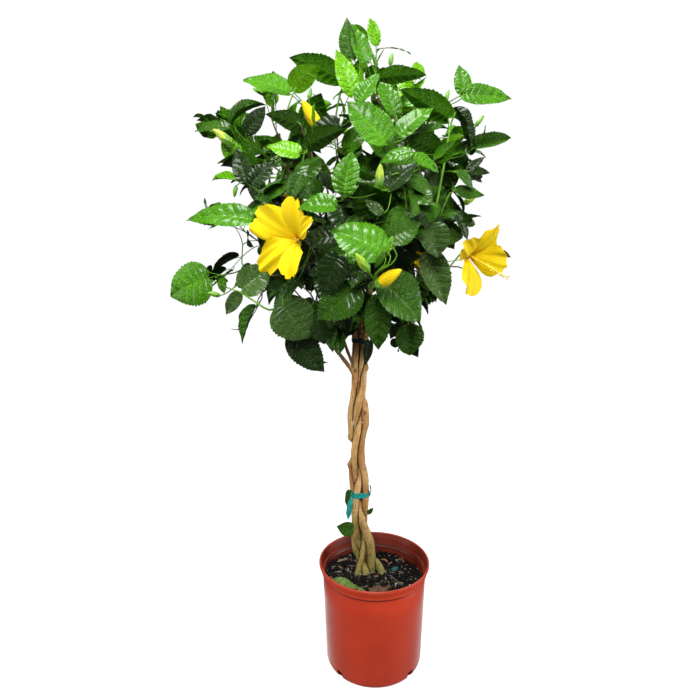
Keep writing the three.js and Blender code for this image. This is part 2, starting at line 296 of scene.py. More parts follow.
# Joins a finish's colour, roughness and relief to its shader.
def joinUp(tree, shader, body, roughness, relief):
    for key, value in (("Base Color", body), ("Roughness", roughness), ("Normal", relief)):
        tree.links.new(value, shader.inputs[key])


blade = {
    "map": "OFBake",  # across and along each blade, a cell for each shade
    "rows": 29,
    "columns": (-1, -0.7, -0.38, -0.05, 0.05, 0.38, 0.7, 1),
    "veins": 7,  # on each side
    "gather": 0.85,  # how the side veins crowd towards the foot
    "lean": 0.17,  # how far the side veins run forward, as a share of the length
    "teeth": 0.075,
    "quilt": 0.032,  # rise between the veins
    "net": (13, 22),  # cells of the finest veins, across and along
}
# The leaves' greens. Deep, mid, bright and lime are dealt out partly by age and partly as painted shade
# inside the crown and painted light on its top, outside and shown undersides.
shades = {
    # blade, veins
    "deep": (colour(0.0090, 0.031, 0.0022), colour(0.035, 0.085, 0.008)),
    "mid": (colour(0.0250, 0.095, 0.0022), colour(0.075, 0.20, 0.010)),
    "bright": (colour(0.049, 0.200, 0.0030), colour(0.12, 0.34, 0.006)),
    "lime": (colour(0.125, 0.400, 0.0020), colour(0.19, 0.46, 0.006)),
    "dusty": (colour(0.050, 0.115, 0.0190), colour(0.10, 0.20, 0.04)),
    "pale": (colour(0.105, 0.190, 0.036), colour(0.16, 0.27, 0.07)),
    "dead": (colour(0.155, 0.078, 0.038), colour(0.30, 0.17, 0.09)),
}
shadeNames = list(shades)


def makeLeafFinish(name):
    body, vein = shades[name]
    material, tree, shader = newFinish("leaf_" + name, Specular_IOR_Level=0.14, Coat_Weight=0.27,
                                       Coat_Roughness=0.17)
    where = placeOf(tree)
    acrossAll, along = carriedBy(tree, blade["map"])
    across = mathOf(tree, "FRACT", mathOf(tree, "MULTIPLY", acrossAll, float(len(shades))))
    # the veins wander a little, and not the same way on every leaf
    drift = mathOf(tree, "SUBTRACT", noiseOf(tree, where, 90.0, 2.0), 0.5)
    along = mathOf(tree, "ADD", along, mathOf(tree, "MULTIPLY", drift, 0.05))
    fromRib = mathOf(tree, "ABSOLUTE", mathOf(tree, "SUBTRACT", across, 0.5))
    rib = rangeOf(tree, fromRib, 0.012, 0.03, 1.0, 0.0)
    gathered = mathOf(tree, "POWER", along, blade["gather"])
    beat = mathOf(tree, "PINGPONG", mathOf(tree, "MULTIPLY", gathered, float(blade["veins"])), 0.5)
    sideVein = rangeOf(tree, beat, 0.03, 0.10, 1.0, 0.0)
    wander = mathOf(tree, "ADD", across, mathOf(tree, "MULTIPLY", drift, 0.06))
    cells = flatPlace(tree, wander, along, *blade["net"])
    net = addNode(tree, "TexVoronoi", {"Vector": cells, "Scale": 1.0}, feature="DISTANCE_TO_EDGE")
    net = net.outputs["Distance"]
    veins = mathOf(tree, "MAXIMUM", rib, mathOf(tree, "MULTIPLY", sideVein, 0.75))
    veins = mathOf(tree, "MAXIMUM", veins, rangeOf(tree, net, 0.0, 0.09, 0.30, 0.0))
    patch = noiseOf(tree, where, 14.0)
    fine = noiseOf(tree, where, 160.0)
    ground = blendOf(tree, rangeOf(tree, patch, 0.3, 0.7, 0.0, 1.0), shaded(body, (0.72, 0.72, 0.72)),
                     shaded(body, (1.3, 1.22, 1.1)))
    ground = blendOf(tree, rangeOf(tree, fine, 0.35, 0.7, 0.0, 0.12), ground, vein)
    painted = blendOf(tree, mathOf(tree, "MULTIPLY", veins, 0.5), ground, vein)
    relief = mathOf(tree, "SUBTRACT", rangeOf(tree, net, 0.0, 0.3, 0.0, 1.0),
                    mathOf(tree, "MULTIPLY", sideVein, 1.5))
    joinUp(tree, shader, painted, rangeOf(tree, fine, 0.3, 0.7, 0.24, 0.42),
           bumpOf(tree, relief, 0.0014, 0.8))
    return material


petalColours = {
    "lemon": colour(0.80, 0.61, 0.002),
    "gold": colour(0.80, 0.56, 0.002),
    "throat": colour(0.72, 0.39, 0.002),
}


def makePetalFinish():
    material, tree, shader = newFinish("petal_yellow", Sheen_Weight=0.03, Sheen_Roughness=0.5,
                                       Specular_IOR_Level=0.12)
    across, along = carriedBy(tree, "flow")
    streaks = noiseOf(tree, flatPlace(tree, across, along, 34, 2.2), 1.0, 4.0)
    soft = noiseOf(tree, placeOf(tree), 30.0)
    lemon, gold, throat = petalColours.values()
    body = blendOf(tree, rangeOf(tree, soft, 0.35, 0.65, 0.0, 1.0), lemon, gold)
    body = blendOf(tree, rangeOf(tree, streaks, 0.45, 0.7, 0.0, 0.45), body, gold)
    body = blendOf(tree, rangeOf(tree, along, 0.0, 0.3, 0.7, 0.0), body, throat)
    joinUp(tree, shader, body, rangeOf(tree, soft, 0.3, 0.7, 0.5, 0.68), bumpOf(tree, streaks, 0.0012, 0.6))
    return material


# A plain living or moulded surface: two colours in drifts, with fine grain.
def makeGrainFinish(name, light, dark, scale, roughness, grain, depth, stretch=(1, 1, 1), **values):
    material, tree, shader = newFinish(name, **values)
    where = stretched(tree, placeOf(tree), *stretch)
    drift = noiseOf(tree, where, scale, 4.0)
    fine = noiseOf(tree, where, grain)
    body = blendOf(tree, rangeOf(tree, drift, 0.35, 0.65, 0.0, 1.0), dark, light)
    body = blendOf(tree, rangeOf(tree, fine, 0.4, 0.75, 0.0, 0.4), body, dark)
    joinUp(tree, shader, body, rangeOf(tree, fine, 0.3, 0.7, *roughness), bumpOf(tree, fine, depth, 0.6))
    return material


bark = {
    "light": colour(0.72, 0.48, 0.20),
    "tan": colour(0.53, 0.285, 0.092),
    "rust": colour(0.36, 0.135, 0.036),
    # the dark of the bark's fine cracks, and painted shade in the creases between stems, in knot eyes and
    # over the inner shoot
    "crease": colour(0.070, 0.024, 0.008),
    "moss": colour(0.20, 0.205, 0.045),
    "green": colour(0.055, 0.125, 0.010),
    "pale": colour(0.82, 0.60, 0.30),
    "mossFoot": 0.26,
    "mossTop": 0.42,
    "greenTop": 0.36,
}


# Bark reads two values that its pieces carry: how deep in a crease it lies, painted as shade, and how ruddy
# it is.
def makeBarkFinish():
    material, tree, shader = newFinish("bark", Specular_IOR_Level=0.3)
    where = placeOf(tree)
    crease, ruddy = carriedBy(tree, "flow")
    runs = noiseOf(tree, stretched(tree, where, 1, 1, 0.10), 150.0, 4.0)
    drift = noiseOf(tree, stretched(tree, where, 1, 1, 0.4), 42.0)
    fine = noiseOf(tree, stretched(tree, where, 1, 1, 0.45), 420.0)
    lines = noiseOf(tree, stretched(tree, where, 1, 1, 0.07), 330.0, 3.0, 0.7)
    bands = noiseOf(tree, stretched(tree, where, 0.3, 0.3, 1), 260.0, 3.0, 0.6)
    flattened = stretched(tree, where, 1, 1, 0.6)
    specks = addNode(tree, "TexVoronoi", {"Vector": flattened, "Scale": 190.0}).outputs[0]
    height = addNode(tree, "SeparateXYZ", {0: where}).outputs[2]
    wavering = mathOf(tree, "ADD", height, mathOf(tree, "MULTIPLY", drift, 0.1))
    patches = rangeOf(tree, noiseOf(tree, where, 40.0, 5.0, 0.65), 0.53, 0.66, 0.0, 0.85)
    lowDown = rangeOf(tree, height, 0.30, bark["greenTop"], 1.0, 0.0)
    body = blendOf(tree, rangeOf(tree, drift, 0.38, 0.62, 0.0, 1.0), bark["tan"], bark["light"])
    # each layer lies over the ones before it
    layers = [
        (mathOf(tree, "MULTIPLY", ruddy, rangeOf(tree, drift, 0.3, 0.7, 0.9, 0.35)), "rust"),
        (rangeOf(tree, runs, 0.52, 0.72, 0.0, 0.7), "rust"),
        (rangeOf(tree, lines, 0.60, 0.72, 0.0, 0.55), "crease"),
        (rangeOf(tree, specks, 0.0, 0.2, 0.6, 0.0), "rust"),
        (rangeOf(tree, bands, 0.56, 0.70, 0.0, 0.45), "rust"),
        (rangeOf(tree, bands, 0.30, 0.42, 0.40, 0.0), "pale"),
        (rangeOf(tree, wavering, bark["mossFoot"], bark["mossTop"], 0.80, 0.0), "moss"),
        (mathOf(tree, "MULTIPLY", patches, lowDown), "green"),
        # painted shade in the creases, the knot eyes and the inner shoot
        (crease, "crease"),
    ]
    for share, tint in layers:
        body = blendOf(tree, share, body, bark[tint])
    ridges = mathOf(tree, "ADD", mathOf(tree, "MULTIPLY", lines, 0.6), mathOf(tree, "MULTIPLY", bands, 0.5))
    coarse = bumpOf(tree, mathOf(tree, "SUBTRACT", runs, ridges), 0.0030, 1.0)
    joinUp(tree, shader, body, rangeOf(tree, fine, 0.3, 0.7, 0.55, 0.82),
           bumpOf(tree, fine, 0.0010, 0.8, coarse))
    return material


leafFinishes = [makeLeafFinish(name) for name in shades]
petalFinish = makePetalFinish()
stamenFinish = makeGrainFinish("stamen_yellow", colour(0.92, 0.70, 0.04), colour(0.86, 0.56, 0.02), 90,
                               (0.45, 0.6), 500, 0.0003)
stigmaFinish = makeGrainFinish("stigma_gold", colour(0.88, 0.46, 0.02), colour(0.80, 0.34, 0.02), 200,
                               (0.5, 0.65), 700, 0.0002)
shootFinish = makeGrainFinish("shoot_green", colour(0.125, 0.31, 0.012), colour(0.060, 0.17, 0.008), 30,
                              (0.34, 0.52), 300, 0.0004, (1, 1, 0.3), Specular_IOR_Level=0.2)
calyxFinish = makeGrainFinish("calyx_green", colour(0.16, 0.38, 0.025), colour(0.09, 0.26, 0.02), 60,
                              (0.35, 0.5), 400, 0.0003)
budFinish = makeGrainFinish("bud_lime", colour(0.50, 0.56, 0.03), colour(0.25, 0.42, 0.02), 60,
                            (0.38, 0.5), 400, 0.0003)
twigFinish = makeGrainFinish("twig_brown", colour(0.115, 0.075, 0.032), colour(0.055, 0.035, 0.016), 40,
                             (0.55, 0.75), 350, 0.0007, (1, 1, 0.3))
barkFinish = makeBarkFinish()
print("finishes made")


view = {
    "place": (-0.05585, -1.0912, 0.8977),
    "down": 8.47,  # degrees
    "lens": 26,
    "sensor": 36,
}
eye = np.array(view["place"])


def makeCamera():
    data = bpy.data.cameras.new("camera")
    data.lens = view["lens"]
    data.sensor_width = view["sensor"]
    camera = bpy.data.objects.new("camera", data)
    camera.location = view["place"]
    camera.rotation_euler = (math.radians(90 - view["down"]), 0, 0)
    bpy.context.scene.collection.objects.link(camera)
    bpy.context.scene.camera = camera


lamps = {
    # place, width, height, watts
    "overhead": ((-0.3, -0.75, 2.9), 0.9, 0.8, 72),
    "left_box": ((-1.9, -0.5, 1.0), 0.6, 1.9, 15),
    "right_box": ((1.8, -0.4, 1.0), 0.6, 1.9, 30),
    "front_box": ((-0.3, -2.7, 2.3), 1.1, 0.8, 82),
    "back_box": ((0.2, 2.2, 2.4), 2.0, 1.4, 26),
}
lampAim = Vector((-0.03, 0, 0.85))
sky = {"light": 0.10, "seen": 1.02}


def makeLights():
    for name, (place, width, height, watts) in lamps.items():
        data = bpy.data.lights.new(name, "AREA")
        data.shape = "RECTANGLE"
        data.size, data.size_y = width, height
        data.energy = watts
        lamp = bpy.data.objects.new(name, data)
        lamp.location = place
        lamp.rotation_euler = (lampAim - Vector(place)).to_track_quat("-Z", "Y").to_euler()
        bpy.context.scene.collection.objects.link(lamp)
    world = bpy.data.worlds.new("studio")
    world.use_nodes = True
    tree = world.node_tree
    ground = tree.nodes["Background"]
    ground.inputs[0].default_value = colour(1, 1, 1)
    ground.inputs[1].default_value = sky["light"]
    seen = addNode(tree, "Background", {0: colour(1, 1, 1), 1: sky["seen"]})
    straight = addNode(tree, "LightPath").outputs["Is Camera Ray"]
    both = addNode(tree, "MixShader", {0: straight, 1: ground.outputs[0], 2: seen.outputs[0]})
    tree.links.new(both.outputs[0], tree.nodes["World Output"].inputs[0])
    bpy.context.scene.world = world
    bpy.context.scene.view_settings.view_transform = "Standard"


def makeFloor():
    mesh = bpy.data.meshes.new("floor")
    radius, corners = 12.0, 48
    rim = [(radius * math.cos(a), radius * math.sin(a), 0) for a in aroundCircle(corners)]
    mesh.from_pydata(rim, [], [list(range(corners))])
    floor = bpy.data.objects.new("floor", mesh)
    bpy.context.scene.collection.objects.link(floor)
    material, tree, shader = newFinish("floor_white", Roughness=0.95, Specular_IOR_Level=0.0,
                                       Emission_Color=colour(1, 1, 1), Emission_Strength=1.0)
    speckle = noiseOf(tree, placeOf(tree), 4.0)
    tree.links.new(blendOf(tree, speckle, colour(0.24, 0.24, 0.24), colour(0.28, 0.28, 0.28)),
                   shader.inputs["Base Color"])
    mesh.materials.append(material)
    # the white floor is not to light the plant from below as a lamp would
    floor.visible_diffuse = False
    floor.visible_glossy = False


makeCamera()
makeLights()
makeFloor()
print("camera, lights and floor made")


pot = {
    "turns": 176,
    "wall": 0.0024,
    "lipRound": 0.0022,
    "hollow": 0.0016,  # how far the middle of the underside is raised
    "hollowRadius": (0.060, 0.0615),  # where the hollow ends and the flat foot starts
    "footRadius": 0.1115,
    "corner": 0.015,
    "wallTop": 0.1185,  # radius under the band
    "bandFoot": 0.1215,
    "bandTop": 0.1230,
    "bandDepth": 0.023,
    "lipDepth": 0.007,
    "lipEdge": 0.0018,
    # the groove under the band, out from the wall's top and up from the band's foot; then the band's own bead
    "groove": ((-0.0001, -0.0046), (-0.0006, -0.0038), (-0.0011, -0.0010), (-0.0007, 0.0)),
    "bead": ((-0.0005, 0.0002), (0.0002, 0.0010), (0.0003, 0.0032), (-0.0002, 0.0042), (0.0, 0.0054)),
    # the ledges inside, in the same way
    "innerBand": ((-0.0018, 0.008), (-0.0006, 0.0066)),
    "innerLedges": ((-0.0012, 0.0), (-0.0020, -0.0025), (0.0, -0.0045), (-0.0008, -0.0065),
                    (-0.0024, -0.0100), (-0.0002, -0.0120), (-0.0008, -0.0140), (-0.0012, -0.0200)),
    "slots": 4,
    "slotSize": (0.026, 0.017, 0.020),
    "slotRound": 0.0012,
    "slotSill": 0.0012,
    "slotRadius": 0.111,
}
potFinishes = {
    # light, dark, sheen
    "pot_plastic": (colour(0.53, 0.042, 0.012), colour(0.43, 0.030, 0.009), 0.75),
    # the band is a lighter copy of the plastic: painted light for the light it catches
    "pot_band_lit": (colour(0.58, 0.052, 0.013), colour(0.53, 0.042, 0.012), 0.25),
    # the inside, the top of the lip, the groove under the band and the grooves inside are darker copies of
    # the plastic: painted shade
    "pot_inside": (colour(0.20, 0.022, 0.009), colour(0.10, 0.012, 0.006), 0.0),
    "pot_groove": (colour(0.15, 0.012, 0.005), colour(0.15, 0.012, 0.005), 0.0),
    "pot_lip": (colour(0.36, 0.036, 0.013), colour(0.36, 0.036, 0.013), 0.0),
    "pot_inner_groove": (colour(0.030, 0.005, 0.003), colour(0.030, 0.005, 0.003), 0.0),
}
# Where each finish lies, as depths below the pot's top.
potZones = {
    "lip": 0.0024,
    "band": 0.0232,
    # the groove under the band and the grooves inside take painted shade
    "groove": (0.0226, 0.0276),
    "grooveRadius": 0.1190,
    "innerGrooves": ((0.0280, 0.0290), (0.0355, 0.0365)),
    "drain": 0.01,  # height above the floor under which faces that look up are inside ones
}


def arc(cx, cz, radius, start, stop, steps):
    a = np.radians(np.linspace(start, stop, steps))
    return [(cx + radius * math.cos(t), cz + radius * math.sin(t)) for t in a]


# The pot's outline from the middle of its underside, up the outside, over the lip and down the inside.
def potOutline():
    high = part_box("pot")[1]
    top, rim = high.z, high.x
    corner, wall, foot = pot["corner"], pot["wall"], pot["footRadius"]
    wallTop, bandFoot, bandTop = pot["wallTop"], pot["bandFoot"], pot["bandTop"]
    step, lipFoot = top - pot["bandDepth"], top - pot["lipDepth"]
    edge, lip = pot["lipEdge"], pot["lipRound"]
    outside = [(0, pot["hollow"]), (pot["hollowRadius"][0], pot["hollow"]), (pot["hollowRadius"][1], 0.0)]
    outside += arc(foot - corner, corner, corner, -90, 0, 9)
    rise = step - corner - 0.001
    outside += [(foot + (wallTop - foot) * t, corner + rise * t) for t in (0.25, 0.5, 0.75)]
    outside += [(wallTop + x, step + z) for x, z in pot["groove"]]
    outside += [(bandFoot + x, step + z) for x, z in pot["bead"]]
    outside += [(bandTop, lipFoot - 0.0018), (bandTop - 0.0002, lipFoot - 0.0008), (rim - edge, lipFoot)]
    outside += arc(rim - edge, lipFoot + edge, edge, -70, 0, 4)
    outside += arc(rim - lip, top - lip, lip, 0, 180, 9)
    inside = [(bandTop - wall, lipFoot - 0.001)]
    inside += [(bandTop - wall + x, step + z) for x, z in pot["innerBand"]]
    inside += [(bandFoot - wall, step + wall)]
    inside += [(wallTop - wall + x, step + z) for x, z in pot["innerLedges"]]
    inside += arc(foot - corner, corner, corner - wall, 0, -90, 6)
    inside += [(0, wall)]
    return outside + inside


def makePotFinish(name):
    light, dark, sheen = potFinishes[name]
    material, tree, shader = newFinish(name, Specular_IOR_Level=0.38, Sheen_Weight=sheen,
                                       Sheen_Roughness=0.33)
    where = placeOf(tree)
    runs = noiseOf(tree, stretched(tree, where, 1, 1, 0.06), 26.0)
    clouds = noiseOf(tree, where, 9.0, 4.0)
    grain = noiseOf(tree, where, 900.0, 2.0)
    scuffs = noiseOf(tree, stretched(tree, where, 1, 1, 7.0), 60.0, 5.0, 0.7)
    body = blendOf(tree, rangeOf(tree, clouds, 0.35, 0.65, 0.0, 1.0), light, dark)
    body = blendOf(tree, rangeOf(tree, runs, 0.4, 0.7, 0.0, 0.45), body, light)
    body = blendOf(tree, rangeOf(tree, scuffs, 0.66, 0.8, 0.0, 0.22), body, colour(0.55, 0.17, 0.10))
    worn = mathOf(tree, "ADD", mathOf(tree, "MULTIPLY", clouds, 0.6), mathOf(tree, "MULTIPLY", scuffs, 0.4))
    broad = bumpOf(tree, runs, 0.0012, 0.35)
    joinUp(tree, shader, body, rangeOf(tree, worn, 0.3, 0.7, 0.34, 0.5),
           bumpOf(tree, grain, 0.00012, 0.3, broad))
    return material


# Cuts the drain slots through the wall's foot.
def cutSlots(piece):
    cutter = bpy.data.meshes.new("slots")
    form = bmesh.new()
    for i in range(pot["slots"]):
        a = (i + 0.5) * tau / pot["slots"]
        box = bmesh.ops.create_cube(form, size=1)["verts"]
        bmesh.ops.scale(form, verts=box, vec=pot["slotSize"])
        bmesh.ops.bevel(form, geom=list({e for v in box for e in v.link_edges}), offset=pot["slotRound"],
                        segments=2, affect="EDGES")
        # the bevel makes new corners, so the ones not yet moved are this slot's
        for v in [v for v in form.verts if v.co.length < 0.05 and not v.tag]:
            v.tag = True
            x = v.co.x + pot["slotRadius"]
            v.co = Vector((x * math.cos(a) - v.co.y * math.sin(a), x * math.sin(a) + v.co.y * math.cos(a),
                           v.co.z + pot["slotSill"] + pot["slotSize"][2] / 2))
    form.to_mesh(cutter)
    form.free()
    tool = bpy.data.objects.new("slots", cutter)
    bpy.context.scene.collection.objects.link(tool)
    cut = piece.modifiers.new("slots", "BOOLEAN")
    cut.object = tool
    cut.solver = "EXACT"
    bpy.context.view_layer.objects.active = piece
    bpy.ops.object.modifier_apply(modifier="slots")
    bpy.data.objects.remove(tool)


# The name of the finish for a face of the pot; the inside, lip and grooves take darker finishes as painted
# shade, the band a lighter one as painted light.
def potZone(face, top):
    c = face.center
    out, drop = math.hypot(c.x, c.y), top - c.z
    inward = face.normal.x * c.x + face.normal.y * c.y < -0.2 * out
    if drop > potZones["lip"] and (inward or (c.z < potZones["drain"] and face.normal.z > 0.5)):
        grooved = any(low < drop < high for low, high in potZones["innerGrooves"])
        return "pot_inner_groove" if grooved else "pot_inside"
    if drop < potZones["lip"]:
        return "pot_lip"
    low, high = potZones["groove"]
    if low < drop < high and out < potZones["grooveRadius"]:
        return "pot_groove"
    return "pot_band_lit" if drop < potZones["band"] else "pot_plastic"


def makePot():
    outline = np.array(potOutline())
    turns = pot["turns"]
    angles = aroundCircle(turns)
    rings = outline[1:-1]
    # moulded plastic is never quite round
    waver = 1 + 0.0012 * np.sin(2 * angles + 0.7) + 0.0006 * np.sin(5 * angles)
    points = np.stack([np.outer(rings[:, 0], waver * np.cos(angles)),
                       np.outer(rings[:, 0], waver * np.sin(angles)),
                       np.repeat(rings[:, 1:], turns, 1)], 2).reshape(-1, 3)
    ends = [[0, 0, outline[0][1]], [0, 0, outline[-1][1]]]
    last = (len(rings) - 1) * turns
    heap = newHeap()
    pileOn(heap, np.concatenate([points, ends]),
           [gridFaces(len(rings), turns, wrap=True), fanFaces(0, turns, len(points), flip=True),
            fanFaces(last, turns, len(points) + 1)])
    zones = list(potFinishes)
    piece = makePiece("nursery_pot", heap, [makePotFinish(name) for name in zones], ["pot"])
    cutSlots(piece)
    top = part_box("pot")[1].z
    mesh = piece.data
    for face in mesh.polygons:
        face.material_index = zones.index(potZone(face, top))
    mesh.polygons.foreach_set("use_smooth", np.ones(len(mesh.polygons), bool))
    edges = piece.modifiers.new("edges", "EDGE_SPLIT")
    edges.split_angle = math.radians(38)
    bpy.ops.object.modifier_apply(modifier="edges")


soil = {
    "level": 0.1945,
    "hills": (0.0024, 0.0016, 0.0012),  # rise of three kinds of unevenness
    "bank": 0.0065,  # rise of the heap round the stems
    "bankPlace": (-0.008, 0.014),
    "bankSpread": 0.0022,
    "edgeRise": 0.0015,
    "slopes": (0.075, 0.02),  # up towards the left and down towards the right
    "wallRadius": 0.1145,
    "leafReach": 0.1125,  # how far out a fallen leaf lies flat
    "rootlets": 46,
}
soilFinishes = {
    # light, dark, drift, roughness, grain, relief, shine
    "soil_black": ((0.008, 0.006, 0.005), (0.002, 0.002, 0.0015), 300, (0.45, 0.85), 1100, 0.0007, 0.14),
    "soil_brown": ((0.055, 0.034, 0.021), (0.014, 0.010, 0.007), 200, (0.4, 0.7), 800, 0.001, 0.5),
    "perlite": ((0.90, 0.88, 0.85), (0.60, 0.58, 0.55), 400, (0.6, 0.8), 1200, 0.0006, 0.5),
    "bark_chip": ((0.40, 0.27, 0.15), (0.12, 0.075, 0.042), 160, (0.6, 0.8), 700, 0.001, 0.5),
    "orange_chip": ((0.46, 0.21, 0.09), (0.30, 0.11, 0.05), 120, (0.5, 0.7), 600, 0.001, 0.5),
    "rootlet": ((0.46, 0.42, 0.32), (0.26, 0.21, 0.14), 160, (0.5, 0.7), 600, 0.0003, 0.5),
    "soil_glint": ((0.06, 0.05, 0.04), (0.010, 0.009, 0.008), 300, (0.14, 0.3), 1100, 0.0004, 0.9),
}
soilKinds = list(soilFinishes)
soilLumps = [
    # how many, smallest and largest, how flat, how deep they sink, finish
    (2500, (0.0016, 0.0074), 0.72, 0.1, "soil_black"),
    (1900, (0.0009, 0.0022), 0.80, -0.6, "soil_black"),
    (420, (0.0012, 0.0048), 0.60, -0.6, "soil_glint"),
    (208, (0.0020, 0.0060), 0.50, -0.3, "soil_brown"),
    (240, (0.0009, 0.0024), 0.90, -1.2, "perlite"),
    (80, (0.0030, 0.0090), 0.20, -1.0, "bark_chip"),
    (5, (0.0040, 0.0070), 0.25, -1.0, "orange_chip"),
]


def soilHeight(x, y, radius):
    r = np.hypot(x, y) / radius
    broad, rough, fine = soil["hills"]
    hills = broad * np.sin(61 * x + 1.3) * np.sin(55 * y + 0.4)
    hills = hills + rough * np.sin(143 * x + 2 * np.sin(90 * y)) + fine * np.sin(171 * y + 3 * np.sin(70 * x))
    bankX, bankY = soil["bankPlace"]
    bank = soil["bank"] * np.exp(-((x - bankX) ** 2 + (y - bankY) ** 2) / soil["bankSpread"])
    slope = soil["edgeRise"] - np.where(x < 0, *soil["slopes"]) * x
    return soil["level"] + hills * (1 - bank / 0.0080) + bank + slope * smooth(r, 0.4, 1.0)


# A handful of lumps: each a small rough stone, flattened and turned at random.
def scatterLumps(heap, count, radius, sizes, flat, sink, finish, dice):
    form = bmesh.new()
    bmesh.ops.create_icosphere(form, subdivisions=1, radius=1)
    ball = np.array([v.co for v in form.verts])
    faces = np.array([[v.index for v in f.verts] for f in form.faces])
    form.free()
    for _ in range(count):
        a, r = dice.uniform(0, tau), radius * math.sqrt(dice.uniform(0, 1))
        x, y = r * math.cos(a), r * math.sin(a)
        size = sizes[0] + (sizes[1] - sizes[0]) * dice.uniform(0, 1) ** 2.2
        lump = ball * dice.uniform(0.65, 1.25, (len(ball), 1)) * size
        lump = lump * np.array([1, dice.uniform(0.45, 0.9), flat])
        turn, tilt = dice.uniform(0, tau), dice.normal(0, 0.45)
        c, s = math.cos(tilt), math.sin(tilt)
        lump = lump @ np.array([[1, 0, 0], [0, c, s], [0, -s, c]])
        c, s = math.cos(turn), math.sin(turn)
        lump = lump @ np.array([[c, s, 0], [-s, c, 0], [0, 0, 1]])
        z = soilHeight(x, y, radius) + size * flat * (1 - sink) * dice.uniform(0.2, 1)
        pileOn(heap, lump + [x, y, z], [faces], finish)


# The body of the mix, down to the pot's floor.
def makeMix(radius, dice):
    turns, rings = 96, 34
    angles = aroundCircle(turns)
    rows = radius * np.sqrt(np.linspace(0.0004, 1, rings))
    x, y = np.outer(rows, np.cos(angles)), np.outer(rows, np.sin(angles))
    top = np.stack([x, y, soilHeight(x, y, radius) + dice.normal(0, 0.0005, x.shape)], 2)
    # each ring of its side: radius and height
    side = ((radius - 0.0015, 0.15), (radius - 0.004, 0.06), (0.97 * radius - 0.012, 0.006))
    wall = np.stack([np.stack([r * np.cos(angles), r * np.sin(angles), np.full(turns, z)], 1)
                     for r, z in side])
    points = np.concatenate([top, wall]).reshape(-1, 3)
    centres = [[0, 0, soilHeight(0, 0, radius)], [0, 0, 0.004]]
    body = newHeap()
    last = (rings + 2) * turns
    pileOn(body, np.concatenate([points, centres]),
           [gridFaces(rings + 3, turns, wrap=True)[:, ::-1], fanFaces(0, turns, len(points)),
            fanFaces(last, turns, len(points) + 1, flip=True)])
    bed = makeGrainFinish("soil_bed", colour(0.010, 0.008, 0.006), colour(0.003, 0.003, 0.002), 260,
                          (0.62, 0.9), 900, 0.0015)
    makePiece("potting_mix", body, [bed], ["soil"])


def makeSoil():
    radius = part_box("soil")[1].x - 0.0002
    dice = np.random.default_rng(31)
    makeMix(radius, dice)
    heap = newHeap()
    for count, sizes, flat, sink, kind in soilLumps:
        scatterLumps(heap, count, radius - 0.003, sizes, flat, sink, soilKinds.index(kind), dice)
    for x, y, turn, size, kind in soilChips:
        addChip(heap, x / 1000, y / 1000, turn, size / 1000, radius, dice, soilKinds.index(kind))
    for _ in range(soil["rootlets"]):
        addRootlet(heap, radius, dice)
    finishes = [makeGrainFinish(kind, colour(*light), colour(*dark), *grain, Specular_IOR_Level=shine)
                for kind, (light, dark, *grain, shine) in soilFinishes.items()]
    makePiece("soil_grains", heap, finishes, rounded=False)
    scraps = newHeap()
    addScrap(scraps, (0.052, 0.034), 0.020, 0.013, radius, dice)
    addScrap(scraps, (0.004, -0.012), 0.007, 0.003, radius, dice)
    torn = makeGrainFinish("scrap_tape", colour(0.008, 0.19, 0.18), colour(0.003, 0.10, 0.10), 90,
                           (0.35, 0.5), 500, 0.0005)
    makePiece("tape_scraps", scraps, [torn])


soilChips = [
    # place in millimetres, turn in degrees, length in millimetres, finish
    (-76, 58, 20, 24, "bark_chip"),
    (-66, 66, -30, 14, "bark_chip"),
    (-85, 24, 5, 18, "bark_chip"),
    (-52, 80, 60, 12, "bark_chip"),
    (30, 64, -35, 17, "orange_chip"),
    (41, 58, 15, 15, "bark_chip"),
    (22, 72, 50, 11, "orange_chip"),
    (-4, 6, 15, 20, "bark_chip"),
    (4, -4, -20, 13, "orange_chip"),
    (18, -20, 70, 10, "bark_chip"),
    (-40, 86, 10, 20, "bark_chip"),
    (66, 64, 40, 18, "bark_chip"),
    (77, 40, -60, 16, "bark_chip"),
    (83, -12, 30, 13, "bark_chip"),
    (58, -28, -10, 15, "bark_chip"),
]


# A long chip of bark: a split stick, flat on one side, ragged at its ends.
def addChip(heap, x, y, turn, length, radius, dice, finish):
    a = math.radians(turn)
    way = np.array([math.cos(a), math.sin(a), dice.normal(0, 0.12)])
    middle = np.array([x, y, soilHeight(x, y, radius) + 0.0042])
    bow = np.array([-way[1], way[0], 0.4]) * dice.normal(0, 0.08) * length
    path = through([middle - way * length / 2, middle + bow, middle + way * length / 2], 0.0022)
    t = np.linspace(0, 1, len(path))
    girth = length * 0.17 * (0.45 + 0.75 * np.sin(math.pi * t) ** 0.6) * dice.uniform(0.75, 1.2, len(path))
    shape = 1 - 0.5 * np.abs(np.sin(aroundCircle(7) + 0.6))[None] * dice.uniform(0.8, 1.2, (len(path), 7))
    addTube(heap, path, girth, 7, finish, (True, True), shape)


# A thread that wanders over the mix.
def addRootlet(heap, radius, dice):
    a, r = dice.uniform(0, tau), radius * 0.9 * math.sqrt(dice.uniform(0, 1))
    x, y, way = r * math.cos(a), r * math.sin(a), dice.uniform(0, tau)
    path = []
    for _ in range(dice.integers(4, 8)):
        path.append([x, y, soilHeight(x, y, radius) + dice.uniform(0.0025, 0.0060)])
        way += dice.normal(0, 0.6)
        x, y = x + 0.007 * math.cos(way), y + 0.007 * math.sin(way)
        if math.hypot(x, y) > radius - 0.006:
            break
    if len(path) > 2:
        addTube(heap, through(path, 0.003), dice.uniform(0.00025, 0.0005), 4, soilKinds.index("rootlet"),
                (True, True))


